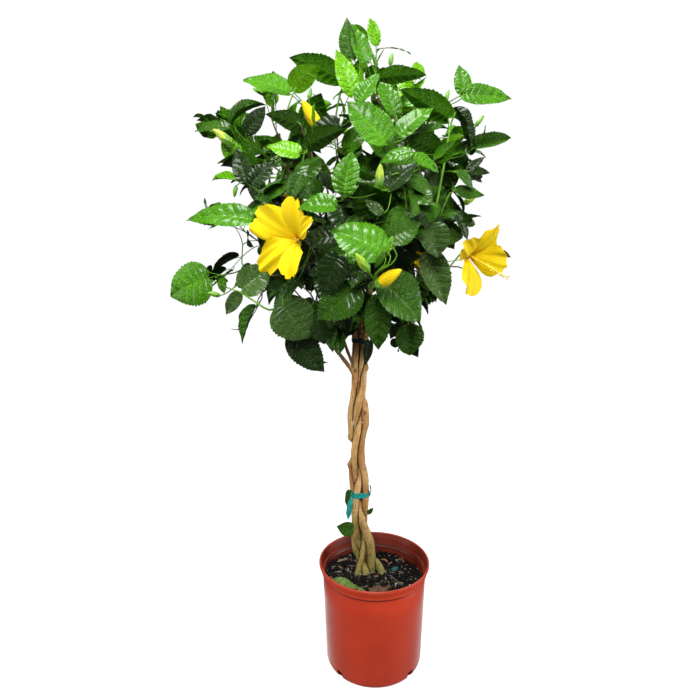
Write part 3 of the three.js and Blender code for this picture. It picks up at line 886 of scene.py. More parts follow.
# A crumpled scrap of the ties' tape.
def addScrap(heap, place, length, width, radius, dice):
    rows, columns = 9, 7
    s, t = np.meshgrid(np.linspace(-0.5, 0.5, rows), np.linspace(-0.5, 0.5, columns), indexing="ij")
    x = place[0] + s * length * 0.7 + t * width * 0.8
    y = place[1] + s * length * 0.7 - t * width * 0.6
    z = soilHeight(place[0], place[1], radius) + 0.0055
    z = z + 0.10 * length * np.sin(5 * s + 2) + 0.12 * width * np.cos(7 * t)
    top = np.stack([x, y, z], 2) + dice.normal(0, 0.0004, (rows, columns, 3))
    both = np.stack([top, top[:, ::-1] - [0, 0, 0.0006]], 1).reshape(rows, 2 * columns, 3)
    j = np.arange(columns - 1)
    end = np.stack([j, j + 1, 2 * columns - 2 - j, 2 * columns - 1 - j], 1)
    ends = [end, end + (rows - 1) * 2 * columns]
    pileOn(heap, both.reshape(-1, 3), [gridFaces(rows, 2 * columns, wrap=True), ends[0][:, ::-1], ends[1]])


makePot()
makeSoil()


stem = {
    "spacing": 0.0040,
    "sides": 36,
    "press": 1.07,
    "crease": 0.0006,
    "relief": (0.068, 0.024, 0.012),  # coarse, fine, and wrinkles across
    "scars": (0.05, 0.052, 0.0032),  # rise, distance apart and width of the old leaf scars
    "soilLine": 0.190,
    "flare": 0.011,  # height over which the foot spreads
}
# Each stem as it is plaited: height, across, depth and radius in millimetres, and how ruddy its bark is.
plait = {
    "main": [
        (178, -5, 22, 9.5, 0.0), (200, -6, 21, 10.6, 0.0), (225, -5, 19, 9.7, 0.1),
        (249, -6, 17, 9.5, 0.2), (277, -9, 12, 9.7, 0.1), (302, -16, 8, 9.6, 0.1),
        (325, -24, 7, 9.2, 0.0), (349, -30, 8, 7.8, 0.0), (368, -34, 14, 6.9, 0.0),
        (387, -38, 19, 7.0, 0.0), (413, -43, 17, 6.9, 0.3), (441, -44, 9, 6.4, 0.3),
        (471, -46, 5, 6.2, 0.2), (500, -46, 3, 6.6, 0.0), (530, -42, 2, 7.0, 0.0),
        (558, -37, 4, 6.6, 0.0), (582, -31, 9, 6.3, 0.0), (608, -28, 15, 6.7, 0.2),
        (643, -29, 14, 6.7, 0.4), (684, -31, 12, 6.7, 0.4), (729, -34, 13, 6.8, 0.4),
        (760, -36, 12, 6.6, 0.3), (810, -35, 15, 5.2, 0.3), (889, -24, 14, 4.2, 0.3),
    ],
    "left": [
        (178, 30, 19, 7.5, 0.0), (199, 19, 20, 9.8, 0.0), (218, 11, 21, 8.8, 0.1),
        (233, -4, 26, 8.2, 0.2), (252, -23, 24, 7.9, 0.2), (277, -36, 17, 7.5, 0.1),
        (310, -42, 11, 7.4, 0.0), (344, -44, 7, 7.0, 0.1), (379, -44, 6, 7.0, 0.0),
        (406, -40, 6, 7.4, 0.0), (431, -36, 8, 7.2, 0.0), (457, -33, 14, 6.9, 0.2),
        (485, -34, 18, 6.9, 0.3), (512, -41, 15, 6.8, 0.3), (537, -51, 9, 6.8, 0.2),
        (564, -54, 8, 6.4, 0.1), (599, -54, 7, 6.0, 0.1), (629, -49, 6, 5.8, 0.4),
        (659, -45, 3, 6.4, 0.5), (691, -44, 0, 6.9, 0.7), (724, -44, 0, 6.7, 0.6),
        (762, -44, 1, 6.4, 0.4), (810, -56, 4, 6.0, 0.4), (850, -66, 4, 5.6, 0.4),
        (910, -63, -1, 5.2, 0.4),
    ],
    "right": [
        (178, -17, 4, 6.4, 0.0), (198, -19, 9, 8.6, 0.0), (216, -21, 12, 7.2, 0.0),
        (232, -31, 20, 6.6, 0.0), (252, -41, 20, 6.6, 0.0), (280, -45, 20, 6.5, 0.0),
        (318, -45, 19, 6.3, 0.0), (362, -46, 17, 6.3, 0.3), (402, -48, 14, 6.0, 0.6),
        (437, -51, 12, 5.9, 0.9), (470, -52, 12, 6.0, 0.8), (498, -45, 15, 6.4, 0.4),
        (531, -46, 14, 6.4, 0.2), (558, -44, 10, 6.3, 0.0), (590, -41, 3, 6.9, 0.0),
        (621, -35, 0, 7.2, 0.0), (648, -28, 2, 6.6, 0.1), (677, -26, 4, 6.2, 0.2),
        (706, -24, 5, 5.9, 0.4), (734, -22, 6, 5.7, 0.6), (761, -22, 8, 5.7, 0.5),
        (810, -27, 1, 5.2, 0.4), (850, -36, 0, 4.6, 0.4), (889, -44, 4, 4.2, 0.4),
    ],
    "front": [
        (178, -41, 13, 6.8, 0.0), (195, -37, 14, 8.6, 0.0), (219, -32, 15, 7.7, 0.0),
        (248, -26, 14, 6.5, 0.1), (275, -24, 16, 6.2, 0.0), (305, -23, 20, 6.4, 0.2),
        (337, -22, 17, 6.4, 0.4), (372, -21, 10, 6.9, 0.9), (410, -20, 8, 7.3, 0.8),
        (444, -22, 7, 7.5, 0.6), (475, -29, 6, 7.6, 0.5), (506, -31, 5, 7.1, 0.7),
        (536, -27, 5, 6.5, 0.9), (565, -22, 5, 7.2, 0.9), (595, -22, 4, 7.4, 0.9),
        (619, -25, 9, 6.3, 0.8), (637, -35, 8, 5.8, 1.0), (658, -38, 5, 5.3, 1.0),
        (681, -36, 4, 5.3, 0.6), (704, -32, -1, 5.4, 0.2), (729, -28, -1, 5.5, 0.4),
        (762, -25, 0, 5.7, 0.4), (810, -17, 4, 5.0, 0.4), (889, -9, 7, 4.2, 0.4),
    ],
    "inner": [  # the dead shoot that the others grew round
        (200, -14, 24, 5.0, 1.0), (260, -20, 22, 5.4, 1.0), (300, -33, 18, 5.6, 1.0),
        (335, -34, 18, 5.6, 1.0), (366, -30, 19, 6.0, 1.0), (400, -31, 18, 5.6, 1.0),
        (435, -31, 16, 6.0, 1.0), (470, -38, 14, 5.2, 1.0), (520, -37, 14, 5.2, 1.0),
        (548, -33, 14, 5.4, 1.0), (566, -34, 13, 5.4, 1.0), (586, -46, 14, 5.6, 1.0),
        (612, -47, 14, 5.6, 1.0), (640, -41, 13, 5.0, 1.0), (690, -36, 10, 4.2, 1.0),
        (760, -35, 6, 4.2, 1.0),
    ],
}
# stem, height, direction round it, radius and rise of each knot; a hollow one has an eye
knots = [
    ("left", 0.532, 190, 0.0075, 0.0052, False),
    ("front", 0.594, 268, 0.0075, 0.0022, True),
    ("right", 0.470, 188, 0.0060, 0.0040, False),
    ("right", 0.695, 5, 0.0065, 0.0042, False),
    ("front", 0.664, 300, 0.0040, 0.0022, True),
    ("front", 0.650, 320, 0.0040, 0.0020, True),
    ("left", 0.690, 262, 0.0090, 0.0012, True),
    ("main", 0.552, 250, 0.0035, 0.0010, True),
    ("left", 0.456, 300, 0.0040, 0.0014, True),
    ("front", 0.470, 300, 0.0060, 0.0020, False),
    ("main", 0.330, 300, 0.0070, 0.0022, False),
    ("left", 0.300, 230, 0.0070, 0.0024, False),
    ("main", 0.250, 250, 0.0060, 0.0020, True),
]


# The middle and radius of a stem at each of its level rings.
def stemLine(name):
    levels = {}
    for p in cornersOf(name):
        levels.setdefault(round(float(p[2]), 4), []).append(p)
    line = []
    for z in sorted(levels):
        ring = np.array(levels[z])
        size = np.ptp(ring, axis=0)
        if size[1] > 0 and abs(size[0] / size[1] - math.cos(math.pi / 6)) < 0.03:
            middle = (ring.max(0) + ring.min(0)) / 2
            line.append([middle[0], middle[1], z, size[1] / 2])
    return np.array(line)


stemLines = [stemLine(name) for name in trunkNodes]
plaitLines = {}
for name, rows in plait.items():
    line = through(np.array(rows)[:, [1, 2, 0, 3, 4]] / [1000, 1000, 1000, 1000, 1], stem["spacing"])
    plaitLines[name] = line[np.argsort(line[:, 2])]


# The place and radius of a stem at a height.
def stemAt(line, z):
    return np.array([np.interp(z, line[:, 2], line[:, k]) for k in (0, 1, 3)])


# Swells a stem at its knots, and sinks an eye in the hollow ones; painted shade darkens each eye and a ring
# round each swelling.
def addKnots(name, z, around, girth, radii, crease):
    for owner, height, turn, size, rise, hollow in knots:
        if owner != name:
            continue
        dz = (z - height) / size
        da = np.mod(around - math.radians(turn) + math.pi, tau) - math.pi
        da = da * girth / size
        far = dz ** 2 * 0.55 + da ** 2
        radii = radii + rise * np.exp(-far * 1.6) - (rise * 2.2 * np.exp(-far * 14) if hollow else 0)
        crease = np.maximum(crease, np.exp(-far * 9) if hollow else 0.5 * np.exp(-(far - 1.1) ** 2 * 9))
    return radii, crease


# Presses a stem flat against the others, with painted shade along the line where they meet.
def pressTogether(name, fine, circle, radii, crease):
    for j, other in plaitLines.items():
        if j == name or "inner" in (j, name):
            continue
        there = np.array([stemAt(other, z) for z in fine[:, 2]])
        apart = there[:, :2] - fine[:, :2]
        distance = np.linalg.norm(apart, axis=1)
        facing = (circle[None] @ (apart / distance[:, None])[:, :, None])[..., 0]
        limit = distance * fine[:, 3] / (fine[:, 3] + there[:, 2]) - stem["crease"]
        inRange = (fine[:, 2] <= other[-1, 2] + 0.004)[:, None]
        allowed = np.where((facing > 0.05) & inRange, limit[:, None] / np.maximum(facing, 0.05), 1.0)
        crease = np.maximum(crease, 1 - smooth(allowed - radii, -0.0002, 0.0011))
        radii = np.minimum(radii, allowed)
    return radii, crease


def makeTrunk():
    heap = newHeap()
    dice = np.random.default_rng(7)
    sides = stem["sides"]
    angles = aroundCircle(sides)
    circle = np.stack([np.cos(angles), np.sin(angles)], 1)
    coarse, grain, wrinkle = stem["relief"]
    rise, apart, width = stem["scars"]
    for i, (name, fine) in enumerate(plaitLines.items()):
        z, girth, around = fine[:, 2:3], fine[:, 3:4], angles[None]
        lobes = 1 + 0.06 * np.sin(2 * around + 18 * z + i) + 0.035 * np.sin(3 * around - 25 * z + 2 * i)
        rough = ripples(around, z, 5, 60, dice, 12) * coarse
        rough = rough + ripples(around, z, 9, 240, dice, 10) * grain
        rough = rough + ripples(around, z, 2, 520, dice, 8) * wrinkle
        scars = rise * np.exp(-((np.mod(z + 0.011 * i, apart) - apart / 2) / width) ** 2)
        # roots part at the soil
        flare = np.exp(-np.maximum(z - stem["soilLine"], 0) / stem["flare"])
        flare = flare * (0.06 + 0.26 * np.cos(4 * around + i))
        radii = girth * stem["press"] * (lobes + rough + scars + flare)
        # the inner shoot lies deep among the others, so nearly all of it is painted in the crease colour as
        # painted shade
        crease = np.full(radii.shape, 0.9 if name == "inner" else 0.0)
        radii, crease = addKnots(name, z, around, girth, radii, crease)
        radii, crease = pressTogether(name, fine, circle, radii, crease)
        points = np.concatenate([fine[:, None, :2] + circle[None] * radii[..., None],
                                 np.repeat(fine[:, None, 2:3], sides, 1)], 2).reshape(-1, 3)
        uv = np.stack([np.clip(crease, 0, 0.92).ravel(), np.repeat(fine[:, 4], sides)], 1)
        pileOn(heap, points, [gridFaces(len(fine), sides, wrap=True)], 0, uv)
    makePiece("plaited_trunk", heap, [barkFinish], trunkNodes)


# The outline of a taut band round points.
def hullOf(points):
    points = points[np.lexsort((points[:, 1], points[:, 0]))]

    def half(run):
        out = []
        for p in run:
            while len(out) > 1:
                a, b = out[-2], out[-1]
                if (b[0] - a[0]) * (p[1] - a[1]) - (b[1] - a[1]) * (p[0] - a[0]) > 1e-12:
                    break
                out.pop()
            out.append(p)
        return out[:-1]

    return np.array(half(points) + half(points[::-1]))


tieLooks = {
    # lift above its place, width against it, how much it slants, and the tape's light and dark colours
    "lower_tie": {"lift": 0.0, "wide": 1.0, "slant": 0.06,
                  "colours": (colour(0.006, 0.34, 0.29), colour(0.004, 0.20, 0.18))},
    "upper_tie": {"lift": 0.008, "wide": 1.2, "slant": -0.16,
                  "colours": (colour(0.012, 0.075, 0.055), colour(0.005, 0.030, 0.024))},
}
tape = {
    "thickness": 0.0007,
    "gap": 0.0006,  # between the stems and the tape
    "steps": 150,
    "rows": 9,
    "pleat": 0.0007,
    "fold": 0.0010,
    "gather": 0.22,  # how much it narrows where it is drawn together
}


# A tape drawn tight round all the stems at a height, pleated and gathered.
def addBand(heap, looks, middle, width):
    rim = []
    for line in plaitLines.values():
        x, y, r = stemAt(line, middle)
        r = r * stem["press"] * 1.06 + tape["gap"]
        rim.append([[x + r * math.cos(a), y + r * math.sin(a)] for a in aroundCircle(24)])
    band = hullOf(np.concatenate(rim))
    band = np.concatenate([band, band[:1]])
    length = lengthsAlong(band)
    s = np.linspace(0, length[-1], tape["steps"], endpoint=False)
    outline = np.stack([np.interp(s, length, band[:, k]) for k in (0, 1)], 1)
    centre = outline.mean(0)
    outward = unit(outline - centre)
    slant = looks["slant"] * (outline[:, 0] - centre[0])
    points = []
    for layer, side in ((0.0, 1), (-tape["thickness"], -1)):
        for t in np.linspace(-0.5, 0.5, tape["rows"])[::side]:
            pleat = tape["pleat"] * np.sin(s * 900 + 5 * t) * np.sin(s * 130 + 2)
            pleat = pleat + tape["fold"] * np.sin(3.2 * t * math.pi) ** 2
            narrow = 1 - tape["gather"] * np.sin(s * 75 + 1) ** 2
            flat = outline + outward * (pleat + 0.0004 + layer)[:, None]
            z = middle + width * t * narrow + slant + 0.0008 * np.sin(s * 60)
            points.append(np.concatenate([flat, z[:, None]], 1))
    loops = np.array(points + points[:1])
    pileOn(heap, loops.reshape(-1, 3), [gridFaces(len(loops), tape["steps"], wrap=True)])
    return outline


def makeTie(name):
    looks = tieLooks[name]
    low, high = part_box(name)
    middle = (low.z + high.z) / 2 + looks["lift"]
    heap = newHeap()
    outline = addBand(heap, looks, middle, (high.z - low.z) * looks["wide"])
    if name == "lower_tie":
        left = np.array([*outline[np.argmin(outline[:, 0] + 0.6 * outline[:, 1])], middle + 0.004])
        right = np.array([*outline[np.argmax(outline[:, 0] - 0.3 * outline[:, 1])], middle + 0.001])
        hanging = [[-0.004, -0.005, -0.012], [-0.0085, -0.007, -0.032], [-0.0115, -0.006, -0.061]]
        standing = [[0.003, -0.003, 0.006], [0.0035, -0.002, 0.014], [0.001, -0.002, 0.024]]
        addKnot(heap, left)
        addTail(heap, left, hanging, 0.0120, [0.1, -1, 0.25])
        addKnot(heap, right, 0.7)
        addTail(heap, right, standing, 0.0060, [0.7, -0.7, 0.1], 1)
    light, dark = looks["colours"]
    bright = makeGrainFinish(name + "_tape", light, dark, 70, (0.38, 0.56), 500, 0.0006, (1, 1, 2.5))
    # the standing end takes a darker copy of the tape: painted shade
    shadeTape = makeGrainFinish(name + "_shade", shaded(light, (0.35, 0.35, 0.35)), shaded(dark, (0.3, 0.3, 0.3)),
                          70, (0.45, 0.6), 500, 0.0005)
    makePiece(name + "_band", heap, [bright, shadeTape], [name])


def addKnot(heap, place, size=1.0):
    t = np.linspace(0, tau * 1.35, 22)
    coil = np.stack([0.0032 * np.cos(t), -0.0018 - 0.0016 * np.sin(2 * t), 0.0042 * np.sin(t)], 1) * size
    addTube(heap, place + coil, 0.0019 * size, 8, 0, (True, True))


# A flat loose end: a ribbon that looks one way, twists a little and ends in a slanting cut.
def addTail(heap, place, turns, width, facing, finish=0):
    path = through(np.concatenate([[place], place + np.array(turns)]), 0.002)
    along = unit(np.gradient(path, axis=0))
    t = np.linspace(0, 1, len(path))
    flat = unit(np.cross(along, facing))
    thick = np.cross(along, flat)
    twist = 0.5 * np.sin(3 * t)[:, None]
    flat, thick = flat * np.cos(twist) + thick * np.sin(twist), thick * np.cos(twist) - flat * np.sin(twist)
    width = width * (0.35 + 0.65 * smooth(t, 0.0, 0.45)) * (1 - 0.9 * smooth(t, 0.72, 1.0))
    # its section, as shares of its width and thickness
    front = ((-0.5, 0.5), (-0.17, 0.8), (0.17, 0.2), (0.5, 0.5))
    back = ((0.5, -0.5), (0.17, -0.8), (-0.17, -0.2), (-0.5, -0.5))
    ring = [path + flat * (a * width)[:, None] + thick * b * 0.0009 for a, b in front + back]
    last = (len(path) - 1) * 8
    cap = last + np.array([[0, 1, 6, 7], [1, 2, 5, 6], [2, 3, 4, 5]])
    pileOn(heap, np.stack(ring, 1).reshape(-1, 3), [gridFaces(len(path), 8, wrap=True), cap], finish)


makeTrunk()
for tieName in tieLooks:
    makeTie(tieName)


crown = {
    "seed": 5,
    "goals": {"core": 20, "ring": 6, "spray": 4},
    "share": 0.42,  # of the way to its goals that a limb runs before it forks
    "thinnest": 0.00115,
    "thickening": 0.34,
    "leafGap": 0.017,
    "leafTurn": 2.4,  # radians round the shoot from one leaf to the next
    "airyTop": 1.1,  # how much wider the leaves are set at the top
    "leafLength": (0.074, 0.106),
}
heart = np.array(sum(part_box("core"), Vector()) / 2)


def massFacts(name):
    points = cornersOf(name)
    distance = np.linalg.norm(points - heart, axis=1)
    return {
        "name": name,
        "points": points,
        "middle": (points.max(0) + points.min(0)) / 2,
        "tip": points[distance.argmax()],
    }


masses = {name: massFacts(name) for name in massNodes}


# All the masses' faces, for rays to meet.
def makeOutline():
    points, faces, count = [], [], 0
    for name in massNodes:
        mesh = nodes[name].data
        points += [v.co.copy() for v in mesh.vertices]
        faces += [[count + i for i in p.vertices] for p in mesh.polygons]
        count += len(mesh.vertices)
    return BVHTree.FromPolygons(points, faces)


outlineTree = makeOutline()


# How far the crown's masses reach from the heart in a direction.
def reachTowards(direction):
    far = 1.0
    start = Vector(heart + direction * far)
    hit = outlineTree.ray_cast(start, Vector(-direction), far)
    return far - hit[3] if hit[0] is not None else 0.0


# Places in a mass that its shoots grow to, spread well apart.
def goalsIn(mass, count, dice):
    outward = unit(mass["tip"] - heart)
    middle = mass["middle"]
    if mass["name"] == "core":
        pool = heart + (mass["points"] - heart) * dice.uniform(0.2, 0.8, (len(mass["points"]), 1))
    else:
        beyond = (mass["points"] - middle) @ outward
        skin = mass["points"][beyond > -0.35 * np.linalg.norm(mass["tip"] - middle)]
        pool = middle + (skin - middle) * dice.uniform(0.3, 0.66, (len(skin), 1))
    first = middle + (mass["tip"] - middle) * 0.5
    chosen = [first]
    while len(chosen) < count:
        gaps = np.min([np.linalg.norm(pool - c, axis=1) for c in chosen], axis=0)
        chosen.append(pool[np.argmax(gaps * dice.uniform(0.8, 1, len(pool)))])
    return np.array(chosen)


# The two side boughs, from the plait up into the leaves, in millimetres.
boughLines = {
    "left_bough": [(-44, 3, 668), (-48, -1, 684), (-57, -6, 699), (-66, -8, 711), (-78, -10, 727),
                   (-90, -12, 744), (-98, -14, 765)],
    "inner_left_bough": [(-45, 4, 690), (-52, 1, 709), (-59, -1, 727), (-66, -4, 748), (-73, -8, 772),
                         (-84, -12, 800)],
}
boughLines = {name: through(np.array(points) / 1000, 0.0035) for name, points in boughLines.items()}
limbs = []  # each with its path, its radii and how many shoots it carries


# The branching rule: a limb heads for the middle of its goals and forks part of the way there. Each half
# takes the goals that lie to its side, until a single shoot is left.
def branch(start, heading, goals, dice, order=0):
    middle = goals.mean(0)
    count = len(goals)
    share = 1.0 if count == 1 else crown["share"] * dice.uniform(0.8, 1.2) * (0.62 if order == 0 else 1)
    end = start + (middle - start) * share
    if count > 1:
        end = end + dice.normal(0, 0.006, 3)
    arriving = unit(middle - start) + (0.25 * up if count <= 4 else 0)
    length = np.linalg.norm(end - start)
    path = swing(start, heading, end, arriving, max(4, int(length / 0.011)), 0.36)
    thick = crown["thinnest"] * count ** crown["thickening"]
    thin = crown["thinnest"] * max(1, count * 0.55) ** crown["thickening"]
    radii = np.linspace(thick, thin if count > 1 else 0.0007, len(path))
    limbs.append({"path": path, "radii": radii, "count": count})
    if count == 1:
        return
    spread = goals - middle
    axis = np.linalg.svd(spread, full_matrices=False)[2][0]
    along = spread @ axis
    ranked = np.argsort(along)
    low, high = max(1, int(count * 0.34)), max(2, int(math.ceil(count * 0.66)) + 1)
    cut = low + int(np.argmax(np.diff(along[ranked])[low - 1:high - 1]))
    leaving = unit(path[-1] - path[-2])
    for side in (ranked[:cut], ranked[cut:]):
        towards = unit(goals[side].mean(0) - end)
        branch(end, unit(leaving + 0.7 * towards), goals[side], dice, order + 1)


def growLimbs():
    dice = np.random.default_rng(crown["seed"])
    goals = {}
    for name, mass in masses.items():
        kind = "core" if name == "core" else "spray" if name.endswith(("spray", "leaves")) else "ring"
        goals[name] = goalsIn(mass, crown["goals"][kind], dice)
    for bough, target in (("left_bough", "hanging_left_leaves"), ("inner_left_bough", "skirt_1")):
        line = boughLines[bough]
        branch(line[-1], unit(line[-1] - line[-3]), goals.pop(target), dice, 1)
    ends = []
    for line in stemLines:
        ends.append((line[-1, :3], unit(line[-1, :3] - line[-4, :3])))
    trunkTop = np.mean([e[0] for e in ends], 0)
    every = np.concatenate(list(goals.values()))
    turn = np.arctan2(*(every - trunkTop)[:, 1::-1].T)
    own = np.array([math.atan2(*(e[0] - trunkTop)[1::-1]) for e in ends])
    ranked = np.argsort(turn)
    groups = np.array_split(ranked, len(ends))
    for group, i in zip(groups, np.argsort(own)):
        branch(ends[i][0], ends[i][1], every[group], dice)


growLimbs()
reachable = [limb for limb in limbs if 2 <= limb["count"] <= 24]
limbPoints = np.concatenate([limb["path"] for limb in reachable])
limbWays = np.concatenate([unit(np.gradient(limb["path"], axis=0)) for limb in reachable])
print("limbs:", len(limbs))


def leafWidth(t):
    a, b = 0.43, 0.92
    peak = (a / (a + b)) ** a * (b / (a + b)) ** b
    return t ** a * (1 - t) ** b / peak * (1 - 0.22 * smooth(t, 0.72, 1.0))


# Every blade at once: a grid whose rows follow the side veins, toothed, quilted, folded and bent.
def bladePoints(leaves):
    rows = blade["rows"]
    t = np.linspace(0, 1, rows)[:, None]
    u = np.array([blade["columns"]], float)
    each = {key: value[:, None, None] for key, value in leaves.items()}
    length = each["length"]
    edge = leafWidth(np.clip(t, 0.004, 0.996))
    tooth = np.where(np.arange(rows)[:, None] % 2 == 1, 1.0, -0.25) * blade["teeth"] * smooth(t, 0.04, 0.4)
    tooth = tooth * (0.75 + 0.25 * np.sin(31 * t)) * np.sin(math.pi * np.minimum(t + 0.1, 1))
    outer = np.abs(u) ** 6
    x = u * edge + np.sign(u) * outer * (tooth * edge ** 0.3)
    lean = blade["lean"] * np.sin(math.pi * t) ** 0.9
    y = t - lean * (1 - np.abs(u) ** 0.9) + outer * tooth * 0.22
    # heart-shaped base: the lobes sit a little behind the stalk
    y = y - 0.07 * (1 - t) ** 5 * np.abs(u)
    beat = np.abs(np.sin(math.pi * t ** blade["gather"] * blade["veins"])) ** 0.8
    middle = np.abs(u) * (1 - np.abs(u)) * 4
    quilt = blade["quilt"] * beat * (0.25 + 0.75 * middle)
    x = x * length * each["width"] * 0.5
    y = y * length
    ripple = np.sin(tau * (2.1 * t + each["phase"]) + 1.6 * np.sign(u))
    z = quilt * length * each["puff"] + each["wave"] * length * ripple * np.abs(u) ** 2
    z = z + np.abs(x) * np.sin(each["fold"]) + each["cup"] * x * x / length
    x = x * np.cos(each["fold"])
    twist = each["twist"] * y / length
    x, z = x * np.cos(twist) - z * np.sin(twist), x * np.sin(twist) + z * np.cos(twist)
    radius = length / np.where(np.abs(each["bend"]) < 0.02, 0.02, each["bend"])
    angle = y / radius
    x = x + each["hook"] * y * y / length
    y, z = (radius + z) * np.sin(angle), (radius + z) * np.cos(angle) - radius
    side = np.cross(leaves["axis"], leaves["normal"])[:, None, None]
    points = each["base"] + x[..., None] * side + y[..., None] * each["axis"] + z[..., None] * each["normal"]
    return points.reshape(len(points), -1, 3)


def bladeUv(shade):
    rows = blade["rows"]
    t = np.linspace(0.0, 1.0, rows)
    u = (np.array(blade["columns"]) + 1) / 2
    across = (shade + 0.02 + 0.96 * u) / len(shades)
    return np.stack([np.tile(across, rows), np.repeat(t, len(u))], 1)


leafList = []  # base, axis, normal, length, width, shade, and how it is bent
keepClear = []  # start, end and radius of the room in front of blooms, buds and chosen leaves


def squared(axis, normal):
    axis = unit(axis)
    return axis, unit(normal - axis * (normal @ axis))


def addLeaf(base, axis, normal, length, width, shade, dice, **shape):
    axis, normal = squared(np.asarray(axis, float), np.asarray(normal, float))
    usual = {
        "fold": dice.uniform(0.08, 0.55),
        "bend": dice.normal(0.5, 0.3),
        "twist": dice.normal(0, 0.25),
        "hook": dice.normal(0, 0.05),
        "wave": dice.uniform(0.004, 0.022),
        "cup": dice.normal(-0.3, 0.3),
        "phase": dice.uniform(0, 1),
        "puff": dice.uniform(0.6, 1.3),
    }
    usual.update(shape)
    leafList.append({"base": base, "axis": axis, "normal": normal, "length": length, "width": width,
                     "shade": shade, **usual})


def hidesWhatShows(middle, reach):
    start = np.array([k[0] for k in keepClear])
    run = np.array([k[1] for k in keepClear]) - start
    radius = np.array([k[2] for k in keepClear])
    t = np.clip(((middle - start) * run).sum(1) / (run * run).sum(1), 0, 1)
    gaps = np.linalg.norm(start + run * t[:, None] - middle, axis=1)
    return bool((gaps < radius + reach).any())


shootHeap = newHeap()  # green shoots and leaf stalks
woodHeap = newHeap()  # brown twigs and limbs


# Leaves set round every thin limb by a constant turn, closer together towards its young end.
def growLeaves():
    dice = np.random.default_rng(crown["seed"] + 1)
    taken = [np.array([9.0, 9, 9])]  # the leaves' middles, after a first one far away
    for limb in limbs:
        if limb["count"] > 7:
            continue
        path = limb["path"]
        lengths = lengthsAlong(path)
        total = lengths[-1]
        gap = crown["leafGap"] * (1.0, 1.7, 2.4)[min(2, limb["count"] - 1)]
        gap *= 1 + crown["airyTop"] * smooth(path[-1][2], 1.10, 1.30)
        turn = dice.uniform(0, tau)
        at = gap * dice.uniform(0.2, 0.9)
        along, side, other = framesAlong(path)
        last = 0.0
        while at < total:
            place = np.array([np.interp(at, lengths, path[:, k]) for k in range(3)])
            i = min(len(path) - 1, int(np.searchsorted(lengths, at)))
            youth = (at / total) if limb["count"] == 1 else 0.15 * at / total
            toSide = side[i] * math.cos(turn) + other[i] * math.sin(turn)
            if growOneLeaf(place, along[i], toSide, youth, dice, taken):
                last = at
            turn += crown["leafTurn"] + dice.normal(0, 0.25)
            at += gap * dice.uniform(0.75, 1.25) * (1 - 0.35 * youth)
        if limb["count"] == 1:
            for k in range(2):
                if growOneLeaf(path[-1], along[-1], side[-1] * (1 - 2 * k), 1.0, dice, taken):
                    last = total
            keep = int(np.searchsorted(lengths, last)) + 1
            limb["path"], limb["radii"] = path[:keep], limb["radii"][:keep]
            limb["bare"] = keep < 3
    print("leaves:", len(leafList))


# A leaf on its stalk, if a place for it is found within four tries.
def growOneLeaf(place, along, toSide, youth, dice, taken):
    outward = unit(place - heart)
    low, high = crown["leafLength"]
    length = dice.uniform(low, high) * (1 - 0.48 * youth ** 3)
    for _ in range(4):
        stalkWay = unit(toSide * dice.uniform(0.5, 1.0) + along * dice.uniform(0.4, 0.9) + outward * 0.35
                        + up * 0.25 + dice.normal(0, 0.22, 3))
        stalk = length * dice.uniform(0.18, 0.34) * (0.5 + 0.5 * (1 - youth))
        base = place + stalkWay * stalk
        droop = dice.uniform(0.0, 0.75) * (1 - 0.8 * youth)
        axis = unit(stalkWay * 0.75 + outward * 0.35 - up * droop + dice.normal(0, 0.25, 3))
        normal = unit(outward * 0.75 + up * 0.65 + along * 0.25 + dice.normal(0, 0.33, 3))
        axis, normal = squared(axis, normal)
        bend = dice.normal(0.55, 0.3)
        tip = base + axis * length * 0.93 - normal * length * 0.22 * bend
        middle = base + axis * length * 0.45
        tipWay, tipReach = unit(tip - heart), np.linalg.norm(tip - heart)
        room = reachTowards(tipWay) + 0.006
        if tipReach > room:
            length *= 0.86
            continue
        if hidesWhatShows(middle, 0.3 * length):
            continue
        near = np.linalg.norm(np.array(taken) - middle, axis=1).min()
        if near < 0.24 * length:
            continue
        taken.append(middle)
        shade = pickShade(middle, youth, dice)
        addLeaf(base, axis, normal, length, dice.uniform(0.6, 0.82), shade, dice, bend=bend)
        bow = swing(place, along * 0.6 + toSide, base, axis, 5, 0.35)
        thick = 0.0005 + 0.005 * length
        addTube(shootHeap, bow, np.linspace(thick, thick * 0.75, 5), 5, 0, (False, False))
        return True
    return False


# Leaves are lighter at the top, on the outside and on young ends. Young ends are a paler green; the lighter
# greens at the top and outside are painted light, and the darker greens inside are painted shade.
def pickShade(place, youth, dice):
    outward = np.linalg.norm(place - heart) / 0.3
    height = (place[2] - heart[2]) / 0.33
    young = youth ** 2 * (0.35 + 0.65 * smooth(place[2], 1.0, 1.15))
    light = 0.5 * height + 0.55 * (outward - 0.8) + 0.75 * young + dice.normal(0, 0.2)
    # more painted light at the very top and along the crown's lower edge
    light += 0.20 * smooth(place[2], 1.10, 1.24) + 0.20 * smooth(place[2], 0.98, 0.84)
    if light > 0.78:
        return "lime"
    if light > 0.34:
        return "bright"
    if light > -0.05:
        return "mid"
    return "dusty" if dice.uniform() < 0.22 else "deep"


petal = {
    "rows": 20,
    "columns": 17,
    "length": 0.070,
    "width": 0.057,
    "throat": 0.019,
}


